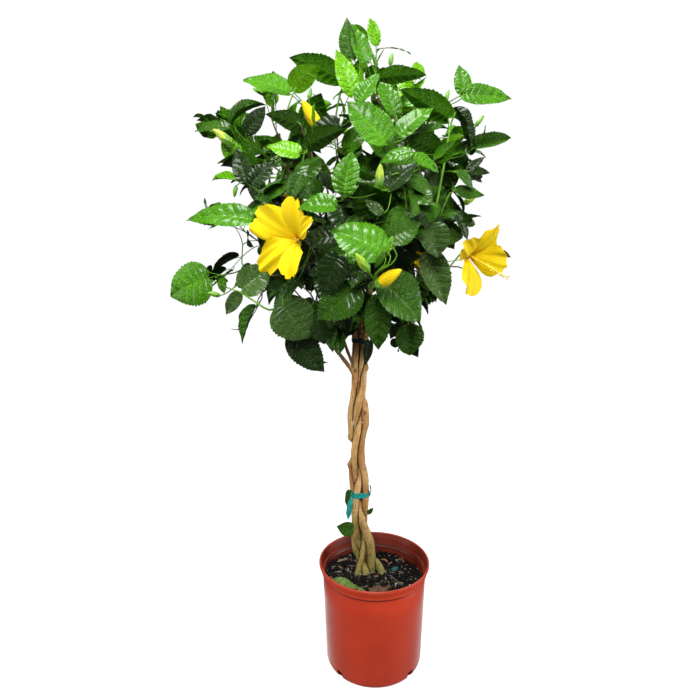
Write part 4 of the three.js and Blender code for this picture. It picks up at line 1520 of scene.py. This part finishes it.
# One petal: a wedge with a broad ruffled end, laid along a curve that leaves the throat and folds outward.
def addPetal(heap, place, axis, turn, openness, dice, length, width, curl, corner=0.0, point=0.24):
    rows, columns = petal["rows"], petal["columns"]
    side = unit(np.cross(up, axis))  # to the right as the bloom is looked into
    other = np.cross(axis, side)
    a = math.radians(turn)
    radial = side * math.cos(a) + other * math.sin(a)
    tangent = np.cross(axis, radial)
    size = petal["length"] * length
    opened = math.radians(openness)
    foot = -axis * petal["throat"] + radial * 0.0022
    bow = foot + axis * petal["throat"] * 0.95 + radial * 0.002
    knee = radial * math.sin(opened * 0.75) * size * 0.42 + axis * math.cos(opened * 0.75) * size * 0.42
    knee = knee + 0.04 * axis * size
    end = radial * math.sin(opened) * size + axis * (math.cos(opened) * size - curl * size * 0.4)
    s = np.linspace(0, 1, rows)[:, None]
    spine = curveOf(foot, bow, knee, end, s)
    along = unit(np.gradient(spine, axis=0))
    face = unit(np.cross(tangent, along))
    u = np.linspace(-1, 1, columns)
    half = 0.5 * petal["width"] * width * (0.10 + 0.90 * smooth(s[:, 0], -0.05, 0.95) ** 0.85)
    rounding = (point - corner * u) * u ** 2 + 0.02 * np.sin(9 * u + dice.uniform(0, tau))
    rounding = rounding + 0.012 * dice.normal(0, 1, columns)
    # the end of the blade is drawn back towards its corners
    back = s * rounding[None, :] * smooth(s, 0.2, 1.0)
    at = np.clip(s - back, 0, 1) * (rows - 1)
    i = np.minimum(at.astype(int), rows - 2)
    f = (at - i)[..., None]
    line = spine[i] * (1 - f) + spine[i + 1] * f
    phase = dice.uniform(0, tau, 3)
    grow = s ** 2.2
    ruffle = (0.0026 * np.sin(5.2 * u[None] + phase[0]) + 0.0020 * np.sin(9.5 * u[None] + phase[1] + 3 * s)
              + 0.0013 * np.sin(17 * u[None] + phase[2])) * grow
    cup = 0.007 * u[None] ** 2 * (1 - 1.1 * s) + 0.0035 * u[None] * (0.3 + s)
    pleat = 0.0012 * np.abs(np.sin(6.5 * u[None])) * np.sin(math.pi * s)
    points = (line + tangent * (u[None] * half[:, None])[..., None]
              + face[:, None] * (ruffle + cup + pleat)[..., None])
    points = place + points.reshape(-1, 3)
    uv = np.stack([np.tile((u + 1) / 2, rows), np.repeat(s[:, 0], columns)], 1)
    pileOn(heap, points, [gridFaces(rows, columns)], 0, uv)


# A speck of pollen, or the tip of a stigma.
def addLump(heap, place, size, dice, finish):
    ball = np.array([[1, 0, 0], [-1, 0, 0], [0, 1, 0], [0, -1, 0], [0, 0, 1], [0, 0, -1]], float)
    faces = np.array([[0, 2, 4], [2, 1, 4], [1, 3, 4], [3, 0, 4], [2, 0, 5], [1, 2, 5], [3, 1, 5], [0, 3, 5]])
    pileOn(heap, place + ball * size * dice.uniform(0.7, 1.2, (6, 1)), [faces], finish)


# The column from the throat, with its stamens and five stigmas.
def addColumn(heap, place, axis, length, sag, dice):
    end = place + axis * length + np.asarray(sag)
    path = swing(place - axis * petal["throat"], axis, end, unit(axis + np.asarray(sag) * 12), 16)
    addTube(heap, path, np.linspace(0.0025, 0.0012, 16), 9, 1)
    along, side, other = framesAlong(path)
    for _ in range(round(700 * length)):
        t = dice.uniform(0.5, 0.97)
        i = int(t * 15)
        a = dice.uniform(0, tau)
        way = unit(side[i] * math.cos(a) + other[i] * math.sin(a) + along[i] * 0.5)
        tip = path[i] + way * dice.uniform(0.003, 0.0062)
        addTube(heap, np.linspace(path[i], tip, 3), 0.0004, 4, 1, (False, False))
        addLump(heap, tip, 0.0012, dice, 1)
    for k in range(5):
        a = k * tau / 5 + 0.3
        way = unit(side[-1] * math.cos(a) + other[-1] * math.sin(a) + along[-1] * 0.8)
        tip = path[-1] + way * 0.0055
        addTube(heap, np.linspace(path[-1], tip, 3), 0.00035, 4, 1, (False, False))
        addLump(heap, tip, 0.0012, dice, 2)


# A cup of five pointed lobes with a ring of narrow leaflets under it.
def addCalyx(heap, place, axis, size, dice, cover, flare=0.35):
    sides, rows = 30, 8
    axis = unit(axis)
    side = squareTo(axis)
    other = np.cross(axis, side)
    a = aroundCircle(sides)
    lobe = np.abs(np.mod(a * 5 / tau, 1) * 2 - 1)
    height = size * (0.8 + 0.9 * lobe) * cover
    s = np.linspace(0, 1, rows)[:, None]
    radius = size * (0.16 + 0.36 * np.sin(s * math.pi * 0.55) + flare * 0.25 * s ** 3
                     - 0.05 * lobe[None] * s ** 2)
    points = (place + axis * (s * height[None])[..., None] + side * (radius * np.cos(a))[..., None]
              + other * (radius * np.sin(a))[..., None])
    pileOn(heap, points.reshape(-1, 3), [gridFaces(rows, sides, wrap=True)], 3)
    for k in range(7):
        b = k * tau / 7 + 0.2
        way = unit(side * math.cos(b) + other * math.sin(b) + axis * dice.uniform(0.5, 1.0))
        path = swing(place + axis * size * 0.08, way, place + way * size * 0.75 + axis * size * 0.15,
                     unit(way + axis), 5)
        addTube(heap, path, size * np.array([0.05, 0.055, 0.045, 0.03, 0.01]), 5, 3)


# Keeps the room between a place and the camera free of grown leaves.
def keepSight(place, near, far, radius):
    towards = unit(eye - place)
    keepClear.append((place + towards * near, place + towards * far, radius))


# Where a stalk springs from: a point of the crown's own limbs that lies behind it and further in.
def springFor(place, arriving, least, most):
    back = place - limbPoints
    outward = unit(place - heart)
    inward = back @ outward
    aside = np.linalg.norm(back - inward[:, None] * outward, axis=1)
    gaps = np.hypot(0.8 * inward, 1.7 * aside)
    deeper = np.linalg.norm(limbPoints - heart, axis=1) - np.linalg.norm(place - heart)
    ahead = 1 - (back @ unit(arriving)) / np.maximum(gaps, 1e-6)
    cost = np.abs(gaps - least) + np.maximum(0, gaps - most) * 4
    cost = cost + np.maximum(0, deeper + 0.01) * 2 + ahead * 0.03
    i = int(cost.argmin())
    return limbPoints[i], limbWays[i]


# A green stalk from the crown's limbs to a place.
def addStalk(place, arriving, thick, least=0.05, most=0.09):
    root, ahead = springFor(place, arriving, least, most)
    towards = unit(place - root)
    path = swing(root, unit(ahead * 0.4 + towards), place, unit(arriving + 0.8 * towards), 12, 0.3)
    addTube(shootHeap, path, np.linspace(thick * 0.85, thick, 12), 7, 0, (False, False))


blooms = {
    # each petal has its turn, openness, length, width and curl, then how slanting and how pointed its end is
    "left_bloom": {
        "place": (-0.148, -0.235, 0.957), "facing": (-0.42, -0.90, 0.02), "column": (0.004, 0.0, -0.004),
        "reach": 0.006,
        "petals": [(146, 84, 1.22, 1.28, 0.0, 0.26), (88, 74, 0.96, 1.00, 0.05), (28, 62, 0.92, 0.60, 0.0),
                   (-90, 76, 0.98, 0.68, 0.1, -0.1), (-145, 84, 1.20, 0.84, 0.12, 0.2)],
    },
    "right_bloom": {
        "place": (0.181, -0.10, 0.931), "facing": (0.60, -0.68, -0.42), "column": (0.002, 0.0, -0.004),
        "reach": 0.080,
        "petals": [(76, 80, 1.10, 0.84, 0.0, 0.0, 0.38), (5, 60, 1.05, 1.12, 0.0),
                   (-101, 62, 1.06, 1.66, 0.0), (-103, 84, 0.62, 0.70, 0.0), (150, 82, 0.95, 0.95, 0.1)],
    },
    "hidden_bloom": {
        "place": (0.092, -0.085, 0.925), "facing": (0.15, -0.95, -0.25), "column": (0.0, 0.0, 0.0),
        "reach": 0.01,
        "petals": [(90, 34, 0.66, 0.9, 0.0), (18, 34, 0.66, 0.9, 0.0), (-54, 38, 0.70, 0.9, 0.0),
                   (-126, 34, 0.66, 0.9, 0.0), (162, 34, 0.66, 0.9, 0.0)],
    },
    "back_bloom": {
        "place": (0.030, 0.240, 1.000), "facing": (0.15, 0.95, 0.12), "column": (0.0, 0.0, -0.004),
        "petals": [(90, 74, 1.0, 1.0, 0.1), (20, 76, 0.95, 1.05, 0.1), (-54, 72, 1.0, 1.0, 0.1),
                   (-126, 76, 1.0, 0.95, 0.0), (160, 70, 0.95, 1.0, 0.1)],
    },
    "back_left_bloom": {
        "place": (-0.190, 0.200, 1.050), "facing": (-0.60, 0.78, 0.05), "column": (0.0, 0.0, -0.006),
        "petals": [(95, 70, 0.95, 1.0, 0.1), (24, 74, 1.0, 1.0, 0.0), (-50, 72, 0.95, 0.95, 0.1),
                   (-122, 70, 1.0, 1.0, 0.1), (166, 66, 0.95, 1.0, 0.0)],
    },
}


def makeBloom(heap, facts, dice):
    place = np.array(facts["place"])
    axis = unit(facts["facing"])
    for k, (turn, openness, *shape) in enumerate(facts["petals"]):
        addPetal(heap, place + axis * 0.0004 * k, axis, turn, openness, dice, *shape)
    addColumn(heap, place, axis, facts.get("reach", 0.066), facts["column"], dice)
    foot = place - axis * (petal["throat"] + 0.004)
    addCalyx(heap, foot, axis, 0.0125, dice, cover=0.7)
    addStalk(foot, axis, 0.0017)
    keepClear.append((place + axis * 0.02, place + axis * 0.09, 0.055))
    keepSight(place, 0.02, 0.16, 0.045)


# A bud: five petals still rolled round each other, in its calyx, on a stalk.
def addBud(heap, foot, tip, width, finish, dice):
    length = np.linalg.norm(tip - foot)
    axis = (tip - foot) / length
    side = squareTo(axis)
    other = np.cross(axis, side)
    sides, rows = 30, 22
    a = aroundCircle(sides)[None]
    s = np.linspace(0.02, 0.985, rows)[:, None]
    girth = 0.5 * width * np.sin(math.pi * s ** 0.8) ** 0.62 * (1 - 0.12 * s)
    rolled = np.mod((a * 5 / tau + 1.7 * s), 1)
    girth = girth * (1 + 0.10 * (rolled - 0.5) * smooth(s, 0.1, 0.4))
    bow = 0.05 * length * np.sin(math.pi * s)
    points = (foot + axis * (s * length)[..., None] + side * (girth * np.cos(a) + bow)[..., None]
              + other * (girth * np.sin(a))[..., None])
    points = np.concatenate([points.reshape(-1, 3), [tip]])
    uv = np.zeros((len(points), 2))
    uv[:, 1] = 0.75
    uv[:-1, 0] = np.tile(np.mod(a[0] / tau * 5, 1), rows)
    closing = fanFaces((rows - 1) * sides, sides, len(points) - 1)
    pileOn(heap, points, [gridFaces(rows, sides, wrap=True), closing], finish, uv)
    addCalyx(heap, foot - axis * 0.001, axis, max(0.008, min(0.024, 0.95 * width)), dice, flare=-0.1,
             cover=0.42 if finish == 0 else 0.9)
    addStalk(foot, axis, 0.0012, 0.03, 0.07)
    keepClear.append((foot, tip, 0.010))
    towards = unit(eye - tip)
    keepClear.append((tip, tip + towards * 0.12, 0.012))
    keepClear.append((foot, foot + towards * 0.12, 0.012))


buds = [
    # foot, tip and width in millimetres, finish: 0 yellow, 3 green, 4 lime
    ((-108, -140, 1152), (-140, -145, 1202), 24, 0),
    ((-15, -275, 880), (26, -280, 906), 22, 0),
    ((-285, -50, 1150), (-322, -55, 1178), 19, 4),
    ((-27, -305, 902), (-47, -312, 930), 15, 4),
    ((-10, -260, 1034), (-8, -265, 1070), 15, 4),
    ((-320, -60, 856), (-344, -65, 862), 11, 3),
    ((-130, -120, 1212), (-126, -120, 1232), 7, 3),
    ((22, -40, 1300), (26, -40, 1322), 10, 3),
    ((192, -40, 1188), (208, -40, 1208), 9, 3),
    ((125, -80, 1222), (130, -80, 1242), 8, 3),
    ((-263, -60, 1185), (-258, -60, 1207), 8, 3),
    ((-280, -60, 1070), (-284, -62, 1048), 9, 3),
    ((75, 230, 1110), (90, 265, 1140), 20, 0),
    ((-150, 250, 1060), (-185, 280, 1080), 20, 0),
    ((210, 120, 1060), (240, 130, 1085), 15, 4),
    ((-20, 220, 1270), (-20, 235, 1300), 14, 4),
]

# The ways that single leaves face.
facings = {
    "front": (0.0, -1.0, 0.15),
    "gloss": (-0.08, -0.78, 0.60),
    "sky": (0.05, -0.28, 0.95),
    "left": (-0.62, -0.72, 0.28),
    "right": (0.60, -0.70, 0.30),
    "slant": (0.0, -0.62, 0.78),
    "under": (0.0, 0.62, 0.78),  # its underside shows
}
# Leaves that stand out singly: base and tip (across, height) and depth in millimetres, width for its length,
# facing and shade. Undersides that show take lighter greens as painted light for the light through the leaf,
# and the deep green of leaves in the crown's hollows is partly painted shade.
singleLeaves = [
    # the top shoots
    (-50, 1315, -75, 1390, -30, 0.50, "left", "mid"),
    (-25, 1305, -50, 1375, -40, 0.46, "gloss", "bright"),
    (-5, 1345, -15, 1395, -20, 0.50, "front", "lime"),
    (0, 1335, 60, 1350, -20, 0.40, "sky", "mid"),
    (-50, 1220, -80, 1295, -120, 0.46, "front", "lime"),
    (-40, 1205, -5, 1255, -130, 0.60, "gloss", "bright"),
    (0, 1262, 83, 1274, -80, 0.42, "under", "bright"),
    (25, 1180, 0, 1245, -140, 0.50, "gloss", "bright"),
    (130, 1190, 45, 1245, -80, 0.52, "under", "bright"),
    (5, 1120, -60, 1180, -200, 0.72, "gloss", "bright"),
    (30, 1140, 85, 1195, -160, 0.52, "gloss", "bright"),
    (65, 1150, 110, 1165, -140, 0.60, "gloss", "mid"),
    (100, 1115, 50, 1145, -150, 0.75, "under", "mid"),
    (-75, 1270, -160, 1320, -50, 0.50, "under", "bright"),
    (-173, 1243, -256, 1281, -60, 0.80, "slant", "bright"),
    (-163, 1245, -122, 1290, -80, 0.72, "under", "lime"),
    # right shoulder and right tip
    (170, 1250, 160, 1305, -30, 0.60, "front", "bright"),
    (165, 1245, 262, 1245, -40, 0.42, "front", "bright"),
    (145, 1210, 180, 1140, -60, 0.30, "right", "deep"),
    (195, 1150, 265, 1172, -30, 0.28, "front", "mid"),
    (195, 1155, 240, 1185, -10, 0.62, "gloss", "mid"),
    (175, 1100, 218, 1098, -60, 0.40, "front", "deep"),
    (175, 1100, 205, 1128, -60, 0.40, "front", "deep"),
    (178, 1098, 208, 1080, -50, 0.40, "front", "deep"),
    (150, 1060, 202, 1045, -80, 0.45, "front", "mid"),
    (150, 1090, 187, 1065, -90, 0.55, "gloss", "mid"),
    # middle
    (45, 1098, -8, 1090, -220, 0.50, "gloss", "bright"),
    (50, 1095, 100, 1080, -200, 0.52, "gloss", "bright"),
    (8, 1038, 48, 1078, -240, 0.66, "gloss", "deep"),
    (-65, 1028, -58, 1092, -250, 0.68, "front", "bright"),
    (-80, 1004, -138, 1012, -270, 0.72, "gloss", "bright"),
    (-135, 1055, -157, 1018, -250, 0.75, "gloss", "mid"),
    (-5, 935, -83, 972, -280, 0.88, "gloss", "bright"),
    (10, 955, 55, 978, -270, 0.75, "front", "mid"),
    (50, 945, -5, 890, -80, 0.80, "front", "deep"),
    (0, 955, 55, 895, -50, 0.80, "front", "deep"),
    (45, 965, 85, 915, -30, 0.85, "front", "deep"),
    (30, 925, 80, 875, -30, 0.80, "front", "deep"),
    (-115, 955, -170, 905, -40, 0.80, "front", "deep"),
    (-75, 1160, -135, 1130, -155, 0.62, "front", "deep"),
    (-75, 960, -138, 955, -240, 0.60, "front", "deep"),
    (-75, 928, -102, 868, -240, 0.75, "front", "deep"),
    (-5, 995, -32, 1016, -260, 0.50, "front", "dusty"),
    (-225, 1055, -190, 1092, -180, 0.60, "front", "deep"),
    (-240, 1060, -256, 1118, -160, 0.55, "front", "deep"),
    # left shoulder and left side
    (-295, 1185, -368, 1196, -40, 0.45, "gloss", "mid"),
    (-280, 1190, -230, 1237, -60, 0.38, "left", "mid"),
    (-250, 1160, -212, 1207, -100, 0.50, "right", "deep"),
    (-135, 1150, -195, 1182, -160, 0.55, "under", "mid"),
    (-140, 1095, -190, 1110, -220, 0.75, "gloss", "lime"),
    (-130, 1115, -68, 1152, -180, 0.62, "under", "mid"),
    (-280, 1080, -328, 1092, -60, 0.38, "gloss", "lime"),
    (-245, 1003, -372, 1032, -80, 0.42, "gloss", "bright"),
    # lower right
    (0, 885, 72, 824, -220, 0.88, "gloss", "mid"),
    (-5, 857, -10, 758, -180, 0.48, "front", "mid"),
    (55, 802, 62, 742, -140, 0.90, "front", "mid"),
    (80, 980, 96, 928, -220, 0.95, "front", "dusty"),
    (85, 935, 122, 848, -160, 0.55, "front", "dusty"),
    (80, 1015, 82, 984, -220, 0.95, "gloss", "bright"),
    (150, 1010, 172, 964, -100, 0.60, "right", "deep"),
    # lower left
    (-45, 875, -108, 818, -210, 0.78, "front", "mid"),
    (-350, 890, -442, 860, -30, 0.90, "front", "bright"),
    (-270, 870, -215, 912, -80, 0.85, "front", "dusty"),
    (-280, 860, -312, 818, -60, 0.55, "front", "dusty"),
    (-245, 832, -278, 765, -70, 0.30, "left", "mid"),
    (-155, 885, -208, 838, -140, 0.50, "left", "mid"),
    (-180, 842, -132, 778, -160, 1.00, "front", "dusty"),
    (-125, 828, -102, 768, -140, 0.80, "front", "deep"),
    (-170, 778, -108, 705, -100, 0.60, "front", "deep"),
    # the fresh tuft in front
    (-4, 930, -18, 909, -300, 0.42, "front", "bright"),
    (2, 934, 10, 958, -300, 0.42, "front", "lime"),
    (-3, 933, 3, 950, -300, 0.45, "gloss", "lime"),
    (6, 939, 15, 951, -300, 0.45, "gloss", "bright"),
]


# Openings in the leaves where the sky shows through, from the front: across, height, radius in millimetres.
openings = [
    (-105, 1280, 19), (-120, 1295, 13), (-150, 1265, 15), (-195, 1210, 15), (-220, 1200, 17),
    (-245, 1190, 10), (-75, 1160, 8), (-255, 1320, 19), (-225, 1315, 19), (-190, 1325, 19),
    (-155, 1335, 19), (-125, 1345, 17), (115, 1295, 19), (145, 1280, 15), (125, 1340, 29), (50, 1340, 17),
    (135, 1175, 10), (235, 1220, 23), (265, 1140, 21), (120, 1125, 6), (-100, 1150, 8), (-90, 1080, 6),
    (-130, 845, 10), (-175, 855, 8), (-270, 1005, 13), (-275, 935, 19), (-260, 790, 19), (-245, 850, 13),
    (175, 875, 15), (280, 910, 25), (205, 985, 13), (240, 875, 17), (-160, 925, 6),
]


def keepOpenings():
    before, behind = 0.34, 0.36
    for x, z, radius in np.array(openings) / 1000:
        place = np.array([x, 0.0, z])
        sight = (place - eye) / np.linalg.norm(place - eye)
        keepClear.append((place - before * sight, place + behind * sight, radius))


def growSingleLeaves():
    dice = np.random.default_rng(23)
    for x1, z1, x2, z2, depth, width, facing, shade in singleLeaves:
        base, tip = np.array([[x1, depth, z1], [x2, depth, z2]]) / 1000
        axis, normal = squared(tip - base, np.array(facings[facing]))
        length = np.linalg.norm(tip - base) * 1.06
        narrow = width < 0.4  # seen edge on, so it is folded instead
        addLeaf(base, axis, normal, length, 0.62 if narrow else width, shade, dice,
                fold=0.95 if narrow else dice.uniform(0.12, 0.38), bend=dice.uniform(0.1, 0.7),
                twist=dice.normal(0, 0.12), wave=dice.uniform(0.008, 0.02), cup=dice.normal(-0.2, 0.2))
        addStalk(base, axis, 0.0011, 0.022, 0.045)
        for t in (0.2, 0.5, 0.8):
            keepSight(base + axis * length * t, 0.0, 0.16, 0.012 if narrow else 0.16 * length)


# Green shoots that stand out singly: the points they pass through and their radius, in millimetres.
singleShoots = [
    ([(104, -130, 1027), (121, -100, 1102), (139, -70, 1189), (156, -60, 1217)], 2.4),
    ([(-176, -100, 1180), (-169, -100, 1208), (-156, -90, 1243)], 1.6),
    ([(-86, -80, 1170), (-76, -80, 1227), (-52, -50, 1307)], 1.9),
    ([(-10, -180, 985), (-3, -190, 1017), (14, -170, 1084)], 1.8),
    ([(-148, -140, 1050), (-144, -150, 1078), (-137, -140, 1118)], 1.8),
    ([(-185, -100, 835), (-211, -120, 831), (-245, -100, 848), (-275, -80, 864)], 2.2),
    ([(-275, -80, 864), (-307, -60, 873), (-345, -30, 888)], 1.4),
    ([(115, -80, 975), (122, -85, 1020), (138, -80, 1055)], 2),
    ([(-18, -270, 880), (-13, -292, 900), (8, -300, 914), (16, -302, 928),
      (7, -300, 941), (0, -298, 932)], 1.2),
    ([(-18, -270, 880), (-14, -294, 901), (2, -305, 913), (6, -305, 926),
      (0, -300, 934)], 1),
    ([(-18, -270, 880), (-16, -290, 899), (-3, -300, 913), (-1, -300, 923),
      (-5, -298, 930)], 1),
    ([(-5, -298, 930), (2, -300, 941), (8, -300, 956)], 1.1),
]


def growSingleShoots():
    for points, thick in singleShoots:
        path = through(np.array(points) / 1000, 0.012)
        radii = np.linspace(thick, 0.7 * thick, len(path)) / 1000
        addTube(shootHeap, path, radii, 8, 0, (True, True))


# Young leaves on the trunk itself: the place each springs from, its base and its tip in millimetres, then
# width, facing and shade.
trunkLeaves = [
    ((-26, 0, 764), (-15, -14, 757), (-21, -22, 706), 0.42, (0.35, -0.9, 0.2), "deep"),
    ((-48, 6, 404), (-57, 6, 409), (-67, 3, 370), 0.40, (-0.55, -0.8, 0.1), "mid"),
    ((-20, 4, 349), (-15, -2, 357), (-3.5, -4, 371), 0.55, (0.1, -0.9, 0.4), "mid"),
    ((-47, 4, 352), (-50, -12, 324), (-84, -22, 330), 0.95, (-0.1, -1.0, 0.12), "mid"),
]
# Leaves that fell into the pot: base and tip in millimetres, width, facing, shade and shape.
fallenLeaves = [
    ((-100, -34), (4, -85), 0.36, (0.02, -0.55, 1.0), "pale", {"cup": -0.5, "wave": 0.040, "puff": 0.9}),
    ((-12, -57), (40, -45), 0.50, (-0.1, -0.5, 0.8), "dead", {"cup": -4.0, "wave": 0.09, "fold": 0.8}),
    ((66, 70), (78, 52), 0.50, (0.0, -0.2, 0.9), "dead", {"cup": 1.5, "wave": 0.06}),
]


def growTrunkLeaves():
    dice = np.random.default_rng(29)
    for *points, width, facing, shade in trunkLeaves:
        root, base, tip = np.array(points) / 1000
        axis, normal = squared(tip - base, np.array(facing))
        length = np.linalg.norm(tip - base) * 1.05
        addLeaf(base, axis, normal, length, width, shade, dice, bend=0.3, twist=0.1, fold=0.2)
        stalk = swing(root, base - root + 0.01 * up, base, axis, 7)
        addTube(shootHeap, stalk, np.linspace(0.0011, 0.0007, 7), 6, 0, (False, False))
    for *ends, width, facing, shade, shape in fallenLeaves:
        base, tip = [np.array([x, y, soilHeight(x, y, soil["wallRadius"]) + 0.007])
                     for x, y in np.array(ends) / 1000]
        axis, normal = squared(tip - base, np.array(facing))
        shape = {"bend": 0.15, "twist": 0.1, "fold": 0.1, **shape}
        addLeaf(base, axis, normal, np.linalg.norm(tip - base), width, shade, dice, **shape)


flowerDice = np.random.default_rng(17)
bloomHeap = newHeap()
for bloomName, bloomFacts in blooms.items():
    makeBloom(bloomHeap, bloomFacts, flowerDice)
for foot, tip, width, budKind in buds:
    addBud(bloomHeap, np.array(foot) / 1000, np.array(tip) / 1000, width / 1000, budKind, flowerDice)
growSingleLeaves()
keepOpenings()
growSingleShoots()
growTrunkLeaves()
growLeaves()


# The leaves in pieces by height, each of which takes the place of the masses at its own height.
def makeLeafPieces():
    floorTop, lowTop, middleTop = 0.25, heart[2] - 0.1, heart[2] + 0.08
    bands = {"fallen_leaves": (-9, floorTop), "leaves_low": (floorTop, lowTop),
             "leaves_middle": (lowTop, middleTop), "leaves_high": (middleTop, 9)}
    faces = gridFaces(blade["rows"], len(blade["columns"]))
    for name, (low, high) in bands.items():
        chosen = [leaf for leaf in leafList if low <= leaf["base"][2] < high]
        facts = {key: np.array([leaf[key] for leaf in chosen]) for key in chosen[0] if key != "shade"}
        every = bladePoints(facts)
        if name == "fallen_leaves":
            # they lean on the pot's wall
            out = np.linalg.norm(every[..., :2], axis=2)
            over = np.where(every[..., 2] < floorTop, np.maximum(out - soil["leafReach"], 0), 0)
            every[..., :2] *= ((out - over) / out)[..., None]
            every[..., 2] += 0.8 * over
        heap = newHeap()
        for leaf, points in zip(chosen, every):
            shade = shadeNames.index(leaf["shade"])
            pileOn(heap, points, [faces], shade, bladeUv(shade))
        replaced = [n for n, m in masses.items() if low <= m["middle"][2] < high]
        makePiece(name, heap, leafFinishes, replaced, layer=blade["map"])


def makeLimbPieces():
    for limb in limbs:
        if limb.get("bare"):
            continue
        heap, sides = (shootHeap, 6) if limb["count"] <= 2 else (woodHeap, 9)
        addTube(heap, limb["path"], limb["radii"], sides, 0, (False, limb["count"] == 1))
    makePiece("green_shoots", shootHeap, [shootFinish])
    makePiece("crown_limbs", woodHeap, [twigFinish])


def makeBoughs():
    heap = newHeap()
    dice = np.random.default_rng(12)
    angles = aroundCircle(16)
    sizes = (("left_bough", 0.0050, 0.0033, 0.9), ("inner_left_bough", 0.0036, 0.0026, 0.8))
    for name, thick, thin, ruddy in sizes:
        path = boughLines[name]
        t = np.linspace(0, 1, len(path))[:, None]
        shape = 1 + 0.07 * ripples(angles[None], path[:, 2:3], 3, 160, dice)
        joints = 0.16 * np.exp(-((np.mod(t[:, 0] + 0.1, 0.31) - 0.15) / 0.03) ** 2)
        radii = (thick + (thin - thick) * t[:, 0] + 0.0022 * np.exp(-t[:, 0] * 12)) * (1 + joints)
        addTube(heap, path, radii, 16, 0, (False, True), shape, (0.12, ruddy))
    makePiece("side_boughs", heap, [barkFinish], boughNodes)


makeLeafPieces()
makeLimbPieces()
makeBoughs()
bloomFinishes = [petalFinish, stamenFinish, stigmaFinish, calyxFinish, budFinish]
makePiece("blooms_and_buds", bloomHeap, bloomFinishes)
